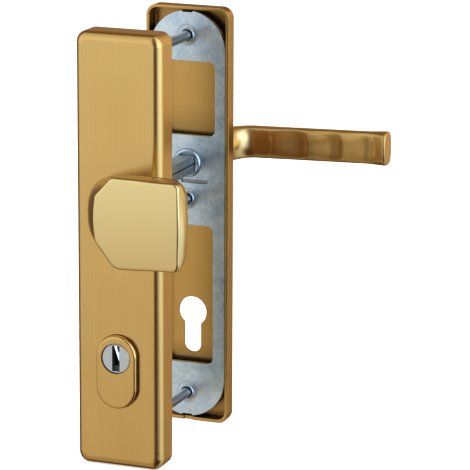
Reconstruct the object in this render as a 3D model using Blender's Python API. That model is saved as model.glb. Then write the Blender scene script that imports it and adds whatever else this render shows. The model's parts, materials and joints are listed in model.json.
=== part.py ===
"""Security door handle set for a euro-profile cylinder lock.

Frame: X to the right seen from outside the door, Y from the outside of the door to the
inside, Z up. The origin is the middle of the outer plate's face against the door.
Every size below is in millimetres; the mesh helpers turn them into metres.
"""
import bmesh
import bpy
from math import atan2, copysign, cos, pi, radians, sin, tan
from mathutils import Vector

MM = 0.001

# ---------------------------------------------------------------- driving dimensions
# Plates
PLATE_WIDTH = 52.0
PLATE_HEIGHT = 250.0
PLATE_CORNER = 6.5
OUTER_DEPTH = 17.0
OUTER_WALL = 2.2
OUTER_EDGE = 5.0
INNER_DEPTH = 10.5
INNER_WALL = 2.0
INNER_EDGE = 3.0
DOOR_GAP = 84.0

# Places along the plates, from their mid-height
SPINDLE_Z = 32.0
CYLINDER_DISTANCE = 92.0
CYLINDER_Z = SPINDLE_Z - CYLINDER_DISTANCE
END_BOLT_Z = 108.0
MIDDLE_BOLT_DROP = 21.5

# Steel plates
FIT = 0.3
STEEL_THICK = 5.0
MOUNTING_THICK = 3.0
MOUNTING_RECESS = 0.3
WINDOW_CORNER = 4.0
UPPER_WINDOW_WIDTH = 35.0
UPPER_WINDOW_HEIGHT = 44.2
UPPER_WINDOW_RISE = 16.6
LOWER_WINDOW_WIDTH = 32.8
LOWER_WINDOW_HEIGHT = 84.4
LOWER_WINDOW_DROP = 37.2
END_NOTCH_WIDTH = 6.5
END_NOTCH_DEPTH = 1.0
TAB_SLOT_WIDTH = 17.0
TAB_SLOT_HEIGHT = 1.4
TAB_SLOT_DROP = 10.4
TAB_SLOT_SIDE = 4.5
PRY_NOTCH_WIDTH = 5.5
PRY_NOTCH_DEPTH = 1.3

# Euro profile: a round for the plug over a straight-sided body
EURO_ROUND = 17.8
EURO_BODY_WIDTH = 10.9
EURO_HEIGHT = 34.2

# Through bolts
BOLT_SHANK = 6.0
BOLT_HEAD = 11.0
BOLT_HEAD_HEIGHT = 2.8
BOLT_SOCKET = 5.0
BOLT_SOCKET_DEPTH = 1.7
SLEEVE_BODY = 10.0
SLEEVE_REACH = 12.0
SLEEVE_FLANGE = 15.0
SLEEVE_FLANGE_THICK = 2.4
SLEEVE_GRIP = 14.0
BOLT_TIP_ROOM = 2.0
BOLT_CHAMFER = 0.8
TIP_LEAD = 0.6
COLLAR_FOOT = 12.4
COLLAR_STEP = 9.0
COLLAR_PROUD = 2.6
COLLAR_FLANGE = 14.0
COLLAR_FLANGE_THICK = 1.2

# Knob
KNOB_PROJECTION = 49.0
KNOB_THICK = 13.5
KNOB_BASE_WIDTH = 34.8
KNOB_BASE_HEIGHT = 42.0
KNOB_BASE_DROP = 9.0
KNOB_BASE_POWER = 2.5
KNOB_NECK_LEAN = 21.5
KNOB_NECK_RISE = 5.5
KNOB_NECK_SINK = 3.0
KNOB_OFFSET = 5.6
KNOB_WIDTH = 53.6
KNOB_HEIGHT = 51.0
KNOB_DROP = 2.5
KNOB_BOW = 1.6
KNOB_TAPER = 1.0
KNOB_LOW_CUT = (13.3, 14.6)
KNOB_HIGH_CUT = (11.4, 10.8)
KNOB_RIGHT_ROUND = 4.5
KNOB_LOW_ROUND = 7.0
KNOB_HIGH_ROUND = 4.0
KNOB_EDGE = 0.9
KNOB_SCREW_HEAD = 13.4
KNOB_SCREW_SHANK = 8.0
KNOB_BORE_DEPTH = 18.0
KNOB_SOCKET_DEPTH = 2.5
KNOB_BUSH = 26.0
KNOB_DOWEL = 4.0
KNOB_DOWEL_DROP = 10.0
KNOB_DOWEL_REACH = 5.5
KNOB_SCREW_ROOM = 1.0

# Cylinder cover
COVER_WIDTH = 24.4
COVER_HEIGHT = 42.6
COVER_RISE = 13.1
COVER_PROUD = 3.8
COVER_EDGE = 1.5
COVER_WALL = 1.5
COVER_FRONT_WALL = 3.2
COVER_FLANGE = 1.6
COVER_FLANGE_THICK = 2.0
DISC_WIDTH = 17.0
DISC_THICK = 2.5
DISC_SUNK = 0.4
DISC_HUB = 12.0
DISC_HUB_LENGTH = 5.0
KEY_SLOT_WIDTH = 4.6
KEY_SLOT_HEIGHT = 15.0
KEY_SLOT_FLOOR = 0.6
KEY_WAY_MARGIN = 1.5
CARRIER_THICK = 2.5
CARRIER_TRAVEL = 3.0
CLIP_THICK = 1.0
CLIP_WIDTH = 15.0
CLIP_GROOVE = 1.0
RETAINER_THICK = 1.5
SPRING_WIRE = 0.7
SPRING_WIDTH = 4.0
SPRING_TURNS = 4.5
SPRING_SIDE = 8.0
SPRING_DROP = 15.0

# Spindle and lever
SPINDLE = 10.0
SPINDLE_SLIT = 0.7
SPINDLE_OUT = 61.0
SPINDLE_IN = 40.0
SPREADER = 4.6
SPREADER_LENGTH = 12.0
RING_WIDTH = 17.0
RING_PROUD = 1.5
DRIVER_FLANGE = 21.0
DRIVER_FLANGE_THICK = 1.4
DRIVER_LUG = 4.0
DRIVER_LUG_REACH = 2.5
LEVER_STOP = 45.0
STOP_PIN = 3.0
RETURN_WIRE = 1.1
RETURN_TURNS = 2.0
LEVER_NECK = 21.0
LEVER_STANDOFF = 55.5
LEVER_BEND = 20.0
LEVER_LENGTH = 102.2
LEVER_HEIGHT = 19.5
LEVER_THICK = 11.0
LEVER_RISE = 0.031
LEVER_STEP = 1.6
GRIP_FULLNESS = 0.72
FINGER_PITCH = 21.7
FINGER_DEPTH = 1.2
FINGER_COUNT = 3
FINGER_FROM_TIP = 7.0
TIP_CHAMFER = 0.8
GRUB = 5.0
GRUB_LENGTH = 5.0
GRUB_PLACE = 9.5
BUSH_WALL = 1.6
BUSH_FLANGE = 28.0
BUSH_FLANGE_THICK = 1.2
RUNNING = 0.25

ROUND_STEPS = 32

# ---------------------------------------------------------------- places worked out
MIDDLE_BOLT_Z = SPINDLE_Z - MIDDLE_BOLT_DROP
BOLT_PLACES = {"top": END_BOLT_Z, "middle": MIDDLE_BOLT_Z, "bottom": -END_BOLT_Z}
OUTER_FRONT = -OUTER_DEPTH
OUTER_INSIDE = OUTER_FRONT + OUTER_WALL
STEEL_FRONT = -STEEL_THICK
INNER_FACE = DOOR_GAP
INNER_BACK = DOOR_GAP + INNER_DEPTH
INNER_INSIDE = INNER_BACK - INNER_WALL
MOUNTING_FACE = INNER_FACE + MOUNTING_RECESS
MOUNTING_BACK = MOUNTING_FACE + MOUNTING_THICK
COVER_Z = CYLINDER_Z + COVER_RISE - COVER_HEIGHT / 2
COVER_FRONT = OUTER_FRONT - COVER_PROUD
POCKET_FRONT = COVER_FRONT + COVER_FRONT_WALL
COVER_BACK = STEEL_FRONT - FIT
RETAINER_FRONT = COVER_BACK - RETAINER_THICK
CARRIER_FRONT = POCKET_FRONT + FIT
CARRIER_BACK = CARRIER_FRONT + CARRIER_THICK
KNOB_FRONT = OUTER_FRONT - KNOB_PROJECTION
KNOB_BACK = KNOB_FRONT + KNOB_THICK
KNOB_SEAT = OUTER_FRONT - FIT
LEVER_AXIS = (0.0, INNER_FACE, SPINDLE_Z)
DISC_AXIS = (0.0, COVER_FRONT, CYLINDER_Z)
GRIP_Y = INNER_BACK + LEVER_STANDOFF


# ---------------------------------------------------------------- materials
def finish(name, colour, roughness, metallic):
    material = bpy.data.materials.new(name)
    material.use_nodes = True
    shader = material.node_tree.nodes["Principled BSDF"]
    shader.inputs["Base Color"].default_value = (*colour, 1.0)
    shader.inputs["Roughness"].default_value = roughness
    shader.inputs["Metallic"].default_value = metallic
    return material


def make_finishes():
    return {
        "bronze": finish("bronze_anodised", (0.47, 0.31, 0.11), 0.35, 0.9),
        "bronze_polished": finish("bronze_polished", (0.42, 0.26, 0.09), 0.2, 0.95),
        "zinc": finish("zinc_plated_steel", (0.42, 0.48, 0.52), 0.4, 0.9),
        "steel": finish("bright_steel", (0.62, 0.65, 0.68), 0.25, 1.0),
        "spring": finish("spring_steel", (0.35, 0.36, 0.38), 0.3, 1.0),
        "plastic": finish("black_plastic", (0.03, 0.03, 0.03), 0.5, 0.0),
    }


# ---------------------------------------------------------------- outlines in X and Z
def circle(width, steps=ROUND_STEPS):
    """Points of a circle about the origin."""
    turn = 2 * pi / steps
    return [(width / 2 * cos(k * turn), width / 2 * sin(k * turn)) for k in range(steps)]


def superellipse(width, height, power, steps=36):
    """Power 2 is an ellipse; the higher it is, the squarer the outline."""
    points = []
    for k in range(steps):
        c, s = cos(2 * pi * k / steps), sin(2 * pi * k / steps)
        points.append((copysign(width / 2 * abs(c) ** (2 / power), c),
                       copysign(height / 2 * abs(s) ** (2 / power), s)))
    return points


def rounded(corners, steps=5):
    """A closed outline through corners (x, z, radius), each turned into an arc."""
    points = []
    for k, (x, z, radius) in enumerate(corners):
        before = Vector(corners[k - 1][:2])
        after = Vector(corners[(k + 1) % len(corners)][:2])
        here = Vector((x, z))
        back = (before - here).normalized()
        ahead = (after - here).normalized()
        half = back.angle(ahead) / 2
        reach = radius / tan(half)
        centre = here + (back + ahead).normalized() * radius / sin(half)
        start = here + back * reach - centre
        end = here + ahead * reach - centre
        first = atan2(start.y, start.x)
        sweep = (atan2(end.y, end.x) - first + pi) % (2 * pi) - pi
        for n in range(steps + 1):
            angle = first + sweep * n / steps
            points.append((centre.x + radius * cos(angle), centre.y + radius * sin(angle)))
    return points


def rectangle(width, height, radius, steps=4):
    x, z = width / 2, height / 2
    return rounded([(x, -z, radius), (x, z, radius), (-x, z, radius), (-x, -z, radius)], steps)


def oval(width, height, steps=8):
    """Straight sides with half-round ends."""
    return rectangle(width, height, width / 2 - 0.01, steps)


def euro_profile(clearance=0.0, steps=18):
    """The profile cylinder's outline about the middle of its round."""
    radius = EURO_ROUND / 2 + clearance
    half = EURO_BODY_WIDTH / 2 + clearance
    foot = EURO_ROUND / 2 - EURO_HEIGHT - clearance
    join = atan2(-(radius * radius - half * half) ** 0.5, half)
    sweep = pi - 2 * join
    arc = [(radius * cos(join + sweep * k / steps), radius * sin(join + sweep * k / steps))
           for k in range(steps + 1)]
    turn = pi / 8
    end = [(-half * cos(k * turn), foot + half - half * sin(k * turn)) for k in range(9)]
    return arc + end


def knob_outline(grow=0.0):
    """The grip of the knob, seen from the front: two cut corners, and bowed edges."""
    left, right = KNOB_OFFSET - grow, KNOB_OFFSET + KNOB_WIDTH + grow
    middle = SPINDLE_Z - KNOB_DROP
    low, high = middle - KNOB_HEIGHT / 2 - grow, middle + KNOB_HEIGHT / 2 + grow
    low_cut, high_cut = KNOB_LOW_CUT, KNOB_HIGH_CUT
    return rounded([
        (left, (low + high + low_cut[1] - high_cut[1]) / 2, 60.0),
        (left + KNOB_BOW, low + low_cut[1], 6.0),
        (left + low_cut[0], low, KNOB_LOW_ROUND),
        (right - KNOB_BOW, low + KNOB_TAPER, KNOB_RIGHT_ROUND),
        (right, middle, 120.0),
        (right - KNOB_BOW, high, KNOB_RIGHT_ROUND),
        (left + high_cut[0], high, KNOB_HIGH_ROUND),
        (left + KNOB_BOW, high - high_cut[1], 3.0),
    ])


def hole(width, x, z, steps=ROUND_STEPS):
    """A circle whose points avoid the centre line, so holes in a column cut cleanly."""
    turn = 2 * pi / steps
    return [(x + width / 2 * cos((k + 0.3) * turn), z + width / 2 * sin((k + 0.3) * turn))
            for k in range(steps)]


def placed(outline, x=0.0, z=0.0):
    return [(px + x, pz + z) for px, pz in outline]


# ---------------------------------------------------------------- meshes
def loft(rings, closed=False):
    """Skin rings that have the same number of points; a ring of one point is a tip."""
    bm = bmesh.new()
    rows = [[bm.verts.new(point) for point in ring] for ring in rings]
    pairs = list(zip(rows, rows[1:]))
    if closed:
        pairs.append((rows[-1], rows[0]))
    for a, b in pairs:
        count = max(len(a), len(b))
        for k in range(count):
            m = (k + 1) % count
            if len(a) == 1:
                bm.faces.new((a[0], b[m], b[k]))
            elif len(b) == 1:
                bm.faces.new((a[k], a[m], b[0]))
            else:
                bm.faces.new((a[k], a[m], b[m], b[k]))
    if not closed:
        for row in (rows[0], rows[-1]):
            if len(row) > 1:
                bm.faces.new(row)
    bmesh.ops.recalc_face_normals(bm, faces=bm.faces)
    return bm


def at_depth(outline, y):
    return [(x, y, z) for x, z in outline]


def prism(outline, y0, y1):
    return loft([at_depth(outline, y0), at_depth(outline, y1)])


def turned(profile, x=0.0, z=0.0, steps=ROUND_STEPS, closed=False):
    """A solid of revolution about a line along Y, from a profile of (radius, y)."""
    rings = []
    for radius, y in profile:
        if radius == 0:
            rings.append([(x, y, z)])
        else:
            rings.append(at_depth(hole(2 * radius, x, z, steps), y))
    return loft(rings, closed)


def piece(name, bm, material, origin=(0.0, 0.0, 0.0)):
    """Turn a mesh in millimetres into an object whose origin is where it turns or sits."""
    for vert in bm.verts:
        vert.co = (vert.co - Vector(origin)) * MM
    mesh = bpy.data.meshes.new(name)
    bm.to_mesh(mesh)
    bm.free()
    mesh.shade_smooth()
    mesh.set_sharp_from_angle(angle=radians(35))
    mesh.materials.append(material)
    obj = bpy.data.objects.new(name, mesh)
    obj.location = Vector(origin) * MM
    bpy.context.collection.objects.link(obj)
    return obj


def boolean(target, bm, operation, label):
    """Join a mesh to the target or cut it away, with a hidden helper object."""
    mesh = bpy.data.meshes.new(label)
    for vert in bm.verts:
        vert.co = vert.co * MM
    bm.to_mesh(mesh)
    bm.free()
    helper = bpy.data.objects.new(label, mesh)
    helper.hide_render = True
    helper.display_type = "WIRE"
    bpy.context.collection.objects.link(helper)
    modifier = target.modifiers.new(label, "BOOLEAN")
    modifier.operation = operation
    modifier.solver = "EXACT"
    modifier.object = helper


def cut(target, bm, label):
    boolean(target, bm, "DIFFERENCE", "cut_" + label)


def join(target, bm, label):
    boolean(target, bm, "UNION", "join_" + label)


def shell(mouth, front, wall, edge):
    """A tray with a round front edge: its mouth is open, its front is closed."""
    way = 1 if front > mouth else -1
    steps = 4
    rings = []
    for k in range(steps + 1):
        angle = pi / 2 * k / steps
        inset = edge * (1 - cos(angle))
        corner = max(PLATE_CORNER - 0.8 * inset, 0.5)
        outline = rectangle(PLATE_WIDTH - 2 * inset, PLATE_HEIGHT - 2 * inset, corner)
        rings.append(at_depth(outline, front - way * edge * (1 - sin(angle))))
    rings.insert(0, at_depth(rectangle(PLATE_WIDTH, PLATE_HEIGHT, PLATE_CORNER), mouth))
    inner_edge = max(edge - wall, 0.6)
    floor = front - way * wall
    hollow = []
    for inset, y in ((inner_edge, floor), (0.3 * inner_edge, floor - way * 0.3 * inner_edge),
                     (0.0, floor - way * inner_edge), (0.0, mouth)):
        corner = max(PLATE_CORNER - wall - 0.8 * inset, 0.4)
        outline = rectangle(PLATE_WIDTH - 2 * (wall + inset),
                            PLATE_HEIGHT - 2 * (wall + inset), corner)
        hollow.append(at_depth(outline, y))
    bm = bmesh.new()
    rows = [[bm.verts.new(point) for point in ring] for ring in rings + hollow]
    count = len(rows[0])
    front_row = len(rings) - 1
    for n in range(len(rows)):
        if n == front_row:
            continue
        a, b = rows[n], rows[(n + 1) % len(rows)]
        for k in range(count):
            m = (k + 1) % count
            bm.faces.new((a[k], a[m], b[m], b[k]))
    bm.faces.new(rows[front_row])
    bm.faces.new(rows[front_row + 1])
    bmesh.ops.recalc_face_normals(bm, faces=bm.faces)
    return bm


def wire(name, points, width, material):
    """Round wire along a path, as a curve with filled ends."""
    curve = bpy.data.curves.new(name, "CURVE")
    curve.dimensions = "3D"
    curve.bevel_depth = width / 2 * MM
    curve.bevel_resolution = 1
    curve.use_fill_caps = True
    spline = curve.splines.new("POLY")
    spline.points.add(len(points) - 1)
    for spot, point in zip(spline.points, points):
        spot.co = (*(Vector(point) * MM), 1.0)
    curve.materials.append(material)
    obj = bpy.data.objects.new(name, curve)
    bpy.context.collection.objects.link(obj)
    return obj


# ---------------------------------------------------------------- outside of the door
def make_outer_cover(finishes):
    cover = piece("outer_cover", shell(0.0, OUTER_FRONT, OUTER_WALL, OUTER_EDGE),
                  finishes["bronze"])
    past = OUTER_FRONT - 1.0
    inside = OUTER_INSIDE + 1.0
    screw = hole(KNOB_SCREW_SHANK + 2 * FIT, 0, SPINDLE_Z)
    cut(cover, prism(screw, past, inside), "knob_screw_hole")
    dowel = hole(KNOB_DOWEL + 2 * FIT, 0, SPINDLE_Z - KNOB_DOWEL_DROP, 20)
    cut(cover, prism(dowel, past, inside), "knob_dowel_hole")
    mouth = placed(oval(COVER_WIDTH + 2 * FIT, COVER_HEIGHT + 2 * FIT), 0, COVER_Z)
    cut(cover, prism(mouth, past, inside), "cylinder_cover_hole")


def make_reinforcement_plate(finishes):
    width = PLATE_WIDTH - 2 * (OUTER_WALL + FIT)
    height = PLATE_HEIGHT - 2 * (OUTER_WALL + FIT)
    plate = piece("reinforcement_plate",
                  prism(rectangle(width, height, PLATE_CORNER - OUTER_WALL), STEEL_FRONT, 0.0),
                  finishes["zinc"])
    past = STEEL_FRONT - 1.0
    for place, z in BOLT_PLACES.items():
        cut(plate, prism(hole(SLEEVE_BODY + 2 * FIT, 0, z), past, 1.0), "sleeve_hole_" + place)
    euro = placed(euro_profile(FIT), 0, CYLINDER_Z)
    cut(plate, prism(euro, past, 1.0), "euro_hole")
    sink = KNOB_SCREW_HEAD / 2 + FIT
    shank = KNOB_SCREW_SHANK / 2 + FIT
    slope = sink - shank
    seat = turned([(0, past), (shank, past), (shank, -slope), (sink, 0.0), (sink, 1.0), (0, 1.0)],
                  0, SPINDLE_Z)
    cut(plate, seat, "knob_screw_seat")
    dowel = hole(KNOB_DOWEL + 2 * FIT, 0, SPINDLE_Z - KNOB_DOWEL_DROP, 20)
    cut(plate, prism(dowel, past, 1.0), "dowel_hole")


def make_threaded_sleeves(finishes):
    """Steel sleeves that the through bolts screw into."""
    front = STEEL_FRONT - FIT - SLEEVE_FLANGE_THICK
    bore = BOLT_SHANK / 2 + FIT
    for place, z in BOLT_PLACES.items():
        profile = [(0, front), (SLEEVE_FLANGE / 2, front),
                   (SLEEVE_FLANGE / 2, front + SLEEVE_FLANGE_THICK),
                   (SLEEVE_BODY / 2, front + SLEEVE_FLANGE_THICK),
                   (SLEEVE_BODY / 2, SLEEVE_REACH), (bore, SLEEVE_REACH),
                   (bore, SLEEVE_REACH - SLEEVE_GRIP), (0, SLEEVE_REACH - SLEEVE_GRIP)]
        piece("threaded_sleeve_" + place, turned(profile, 0, z, 24), finishes["zinc"])


def make_knob(finishes):
    """A fixed grip set off to one side of the neck that carries it."""
    rings = []
    for grow, y in ((-KNOB_EDGE, KNOB_FRONT), (-0.25 * KNOB_EDGE, KNOB_FRONT + 0.25 * KNOB_EDGE),
                    (0.0, KNOB_FRONT + KNOB_EDGE), (0.0, KNOB_BACK - 2 * KNOB_EDGE),
                    (-2 * KNOB_EDGE, KNOB_BACK)):
        rings.append(at_depth(knob_outline(grow), y))
    knob = piece("knob", loft(rings), finishes["bronze"])
    deep = KNOB_BACK - KNOB_NECK_SINK
    neck = []
    # how deep, and the lean, width and height there, as parts of the whole
    for depth, lean, width, height in ((0.0, 0.0, 1.0, 1.0), (0.12, 0.02, 0.96, 0.98),
                                       (0.4, 0.18, 0.87, 0.94), (0.7, 0.5, 0.84, 0.92),
                                       (1.0, 1.0, 0.85, 0.93)):
        outline = superellipse(KNOB_BASE_WIDTH * width, KNOB_BASE_HEIGHT * height,
                               KNOB_BASE_POWER)
        y = KNOB_SEAT + (deep - KNOB_SEAT) * depth
        z = SPINDLE_Z - KNOB_BASE_DROP + KNOB_NECK_RISE * lean
        neck.append(at_depth(placed(outline, KNOB_NECK_LEAN * lean, z), y))
    join(knob, loft(neck), "neck")
    bore = placed(circle(KNOB_SCREW_SHANK + 2 * FIT, 24), 0, SPINDLE_Z)
    bottom = KNOB_SEAT - KNOB_BORE_DEPTH
    cut(knob, prism(bore, bottom, KNOB_SEAT + 2), "screw_bore")
    pin = placed(circle(KNOB_DOWEL + 2 * FIT, 20), 0, SPINDLE_Z - KNOB_DOWEL_DROP)
    cut(knob, prism(pin, KNOB_SEAT - KNOB_DOWEL_REACH - FIT, KNOB_SEAT + 2), "dowel_bore")


def make_knob_fixings(finishes):
    head = KNOB_SCREW_HEAD / 2
    shank = KNOB_SCREW_SHANK / 2
    slope = head - shank
    tip = KNOB_SEAT - KNOB_BORE_DEPTH + KNOB_SCREW_ROOM
    lead = TIP_LEAD
    screw = piece("knob_screw", turned([(0, tip), (shank - lead, tip), (shank, tip + lead),
                                        (shank, -slope), (head, 0.0), (0, 0.0)],
                                       0, SPINDLE_Z, 32), finishes["steel"])
    socket = placed(circle(BOLT_SOCKET, 6), 0, SPINDLE_Z)
    cut(screw, prism(socket, -KNOB_SOCKET_DEPTH, 1.0), "knob_screw_socket")
    front, back = OUTER_INSIDE + FIT, STEEL_FRONT - FIT
    bush = piece("knob_support_bush",
                 turned([(KNOB_BUSH / 2, front), (KNOB_BUSH / 2, back), (shank + FIT, back),
                         (shank + FIT, front)], 0, SPINDLE_Z, 36, closed=True), finishes["zinc"])
    pin = placed(circle(KNOB_DOWEL + 2 * FIT, 20), 0, SPINDLE_Z - KNOB_DOWEL_DROP)
    cut(bush, prism(pin, front - 1, back + 1), "bush_dowel_hole")
    dowel = placed(circle(KNOB_DOWEL, 20), 0, SPINDLE_Z - KNOB_DOWEL_DROP)
    piece("knob_dowel", prism(dowel, KNOB_SEAT - KNOB_DOWEL_REACH, -FIT), finishes["steel"])


def make_cylinder_cover(finishes):
    """The oval housing that stands proud of the outer plate over the cylinder."""
    steps = 3
    rings = []
    for k in range(steps + 1):
        angle = pi / 2 * k / steps
        inset = COVER_EDGE * (1 - sin(angle))
        y = COVER_FRONT + COVER_EDGE * (1 - cos(angle))
        rings.append(at_depth(placed(oval(COVER_WIDTH - 2 * inset, COVER_HEIGHT - 2 * inset),
                                     0, COVER_Z), y))
    step = OUTER_INSIDE + FIT
    wide = placed(oval(COVER_WIDTH + 2 * COVER_FLANGE, COVER_HEIGHT + 2 * COVER_FLANGE), 0, COVER_Z)
    slim = placed(oval(COVER_WIDTH, COVER_HEIGHT), 0, COVER_Z)
    rings += [at_depth(slim, step), at_depth(wide, step),
              at_depth(wide, step + COVER_FLANGE_THICK), at_depth(slim, step + COVER_FLANGE_THICK),
              at_depth(slim, COVER_BACK)]
    cover = piece("cylinder_cover", loft(rings), finishes["bronze"])
    pocket = placed(oval(COVER_WIDTH - 2 * COVER_WALL, COVER_HEIGHT - 2 * COVER_WALL), 0, COVER_Z)
    cut(cover, prism(pocket, POCKET_FRONT, COVER_BACK + 1), "carrier_pocket")
    mouth = placed(circle(DISC_WIDTH + 2 * RUNNING), 0, CYLINDER_Z)
    cut(cover, prism(mouth, COVER_FRONT - 1, POCKET_FRONT + 1), "disc_mouth")


def make_key_disc(finishes):
    front = COVER_FRONT + DISC_SUNK
    back = front + DISC_THICK
    end = back + DISC_HUB_LENGTH
    wide, hub = DISC_WIDTH / 2, DISC_HUB / 2
    groove = CARRIER_BACK + RUNNING
    slim = hub - CLIP_GROOVE
    disc = piece("key_disc", turned([
        (0, front), (wide - 0.3, front), (wide, front + 0.3), (wide, back), (hub, back),
        (hub, groove), (slim, groove), (slim, groove + CLIP_THICK + RUNNING),
        (hub, groove + CLIP_THICK + RUNNING), (hub, end), (0, end)], 0, CYLINDER_Z, 48),
        finishes["steel"], DISC_AXIS)
    half = KEY_SLOT_WIDTH / 2
    hub_height = DISC_HUB - 2 * KEY_WAY_MARGIN
    cut(disc, prism(placed(rectangle(2 * half, KEY_SLOT_HEIGHT, 0.5, 2), 0, CYLINDER_Z),
                    front - 1, back - KEY_SLOT_FLOOR), "key_slot")
    cut(disc, prism(placed(rectangle(2 * half, hub_height, 0.5, 2), 0, CYLINDER_Z),
                    front - 1, end + 1), "key_way")
    gap = radians(25)
    outline = []
    for radius, way in ((CLIP_WIDTH / 2, 1), (slim + RUNNING, -1)):
        for k in range(ROUND_STEPS + 1):
            part = (k if way > 0 else ROUND_STEPS - k) / ROUND_STEPS
            angle = -pi / 2 + gap + (2 * pi - 2 * gap) * part
            outline.append((radius * cos(angle), radius * sin(angle)))
    clip_front = groove + RUNNING / 2
    piece("disc_circlip", prism(placed(outline, 0, CYLINDER_Z), clip_front,
                                clip_front + CLIP_THICK), finishes["spring"], DISC_AXIS)


def make_disc_carrier(finishes):
    """The plate that holds the disc, pushed forward by two springs."""
    room = 2 * (COVER_WALL + FIT)
    outline = placed(oval(COVER_WIDTH - room, COVER_HEIGHT - room), 0, COVER_Z)
    carrier = piece("disc_carrier", prism(outline, CARRIER_FRONT, CARRIER_BACK),
                    finishes["zinc"], DISC_AXIS)
    cut(carrier, prism(placed(circle(DISC_HUB + 2 * RUNNING), 0, CYLINDER_Z),
                       CARRIER_FRONT - 1, CARRIER_BACK + 1), "disc_bearing")
    retainer = piece("carrier_retainer", prism(outline, RETAINER_FRONT, COVER_BACK),
                     finishes["zinc"])
    euro = placed(euro_profile(FIT), 0, CYLINDER_Z)
    cut(retainer, prism(euro, RETAINER_FRONT - 1, COVER_BACK + 1), "retainer_euro_hole")
    coil = (SPRING_WIDTH - SPRING_WIRE) / 2
    start = CARRIER_BACK + FIT + SPRING_WIRE / 2
    end = RETAINER_FRONT - FIT - SPRING_WIRE / 2
    steps = 10
    count = int(SPRING_TURNS * steps)
    for side, x in (("left", -SPRING_SIDE), ("right", SPRING_SIDE)):
        path = []
        for k in range(count + 1):
            angle = 2 * pi * k / steps
            path.append((x + coil * cos(angle), start + (end - start) * k / count,
                         CYLINDER_Z - SPRING_DROP + coil * sin(angle)))
        wire("carrier_spring_" + side, path, SPRING_WIRE, finishes["spring"])


# ---------------------------------------------------------------- inside of the door
def make_inner_cover(finishes):
    cover = piece("inner_cover", shell(INNER_FACE, INNER_BACK, INNER_WALL, INNER_EDGE),
                  finishes["bronze"])
    front, back = INNER_INSIDE - 1.5, INNER_BACK + 1.0
    bush = LEVER_NECK + 2 * (RUNNING + BUSH_WALL + FIT)
    cut(cover, prism(hole(bush, 0, SPINDLE_Z), front, back), "bush_hole")
    cut(cover, prism(placed(euro_profile(), 0, CYLINDER_Z), front, back), "inner_euro_hole")
    notch = rectangle(PRY_NOTCH_WIDTH, 4 * INNER_WALL, 0.6, 2)
    cut(cover, prism(placed(notch, 0.5, -PLATE_HEIGHT / 2), INNER_FACE - 1,
                     INNER_FACE + PRY_NOTCH_DEPTH), "pry_notch")


def make_mounting_plate(finishes):
    """The zinc-plated plate that is screwed to the door and carries the inner cover."""
    width = PLATE_WIDTH - 2 * (INNER_WALL + FIT)
    height = PLATE_HEIGHT - 2 * (INNER_WALL + FIT)
    plate = piece("mounting_plate", prism(oval(width, height, 14), MOUNTING_FACE, MOUNTING_BACK),
                  finishes["zinc"])
    front, back = MOUNTING_FACE - 1, MOUNTING_BACK + 1
    upper = rectangle(UPPER_WINDOW_WIDTH, UPPER_WINDOW_HEIGHT, WINDOW_CORNER)
    upper_z = SPINDLE_Z + UPPER_WINDOW_RISE + UPPER_WINDOW_HEIGHT / 2
    cut(plate, prism(placed(upper, 0, upper_z), front, back), "upper_window")
    lower = rectangle(LOWER_WINDOW_WIDTH, LOWER_WINDOW_HEIGHT, WINDOW_CORNER)
    lower_z = SPINDLE_Z - LOWER_WINDOW_DROP - LOWER_WINDOW_HEIGHT / 2
    cut(plate, prism(placed(lower, 0, lower_z), front, back), "lower_window")
    cut(plate, prism(hole(RING_WIDTH + 2 * FIT, 0, SPINDLE_Z), front, back), "ring_hole")
    slot = rectangle(TAB_SLOT_WIDTH, TAB_SLOT_HEIGHT, TAB_SLOT_HEIGHT / 2 - 0.05, 3)
    cut(plate, prism(placed(slot, TAB_SLOT_SIDE, SPINDLE_Z - TAB_SLOT_DROP), front, back),
        "tab_slot")
    notch = rectangle(END_NOTCH_WIDTH, 2 * END_NOTCH_DEPTH, 0.4, 2)
    for side, z in (("top", height / 2), ("bottom", -height / 2)):
        cut(plate, prism(placed(notch, 0, z), front, back), "end_notch_" + side)
    for place, z in BOLT_PLACES.items():
        cut(plate, prism(hole(COLLAR_FOOT + 2 * FIT, 0, z), front, back), "collar_hole_" + place)


def make_bolts(finishes):
    bore = BOLT_SHANK / 2 + FIT
    front = MOUNTING_FACE - COLLAR_PROUD
    flange = MOUNTING_BACK + FIT
    behind = flange + COLLAR_FLANGE_THICK
    tip = SLEEVE_REACH - SLEEVE_GRIP + BOLT_TIP_ROOM
    for place, z in BOLT_PLACES.items():
        collar = [(COLLAR_STEP / 2, front), (COLLAR_FOOT / 2, MOUNTING_FACE),
                  (COLLAR_FOOT / 2, flange), (COLLAR_FLANGE / 2, flange),
                  (COLLAR_FLANGE / 2, behind), (bore, behind), (bore, front)]
        piece("bolt_collar_" + place, turned(collar, 0, z, 24, closed=True), finishes["zinc"])
        shank = BOLT_SHANK / 2
        seat = behind + FIT
        end = seat + BOLT_HEAD_HEIGHT
        bolt = piece("through_bolt_" + place, turned([
            (0, tip), (shank - TIP_LEAD, tip), (shank, tip + TIP_LEAD), (shank, seat),
            (BOLT_HEAD / 2, seat), (BOLT_HEAD / 2, end - BOLT_CHAMFER),
            (BOLT_HEAD / 2 - BOLT_CHAMFER, end), (0, end)], 0, z, 24), finishes["steel"])
        socket = placed(circle(BOLT_SOCKET, 6), 0, z)
        cut(bolt, prism(socket, end - BOLT_SOCKET_DEPTH, end + 1), "socket_" + place)


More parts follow.
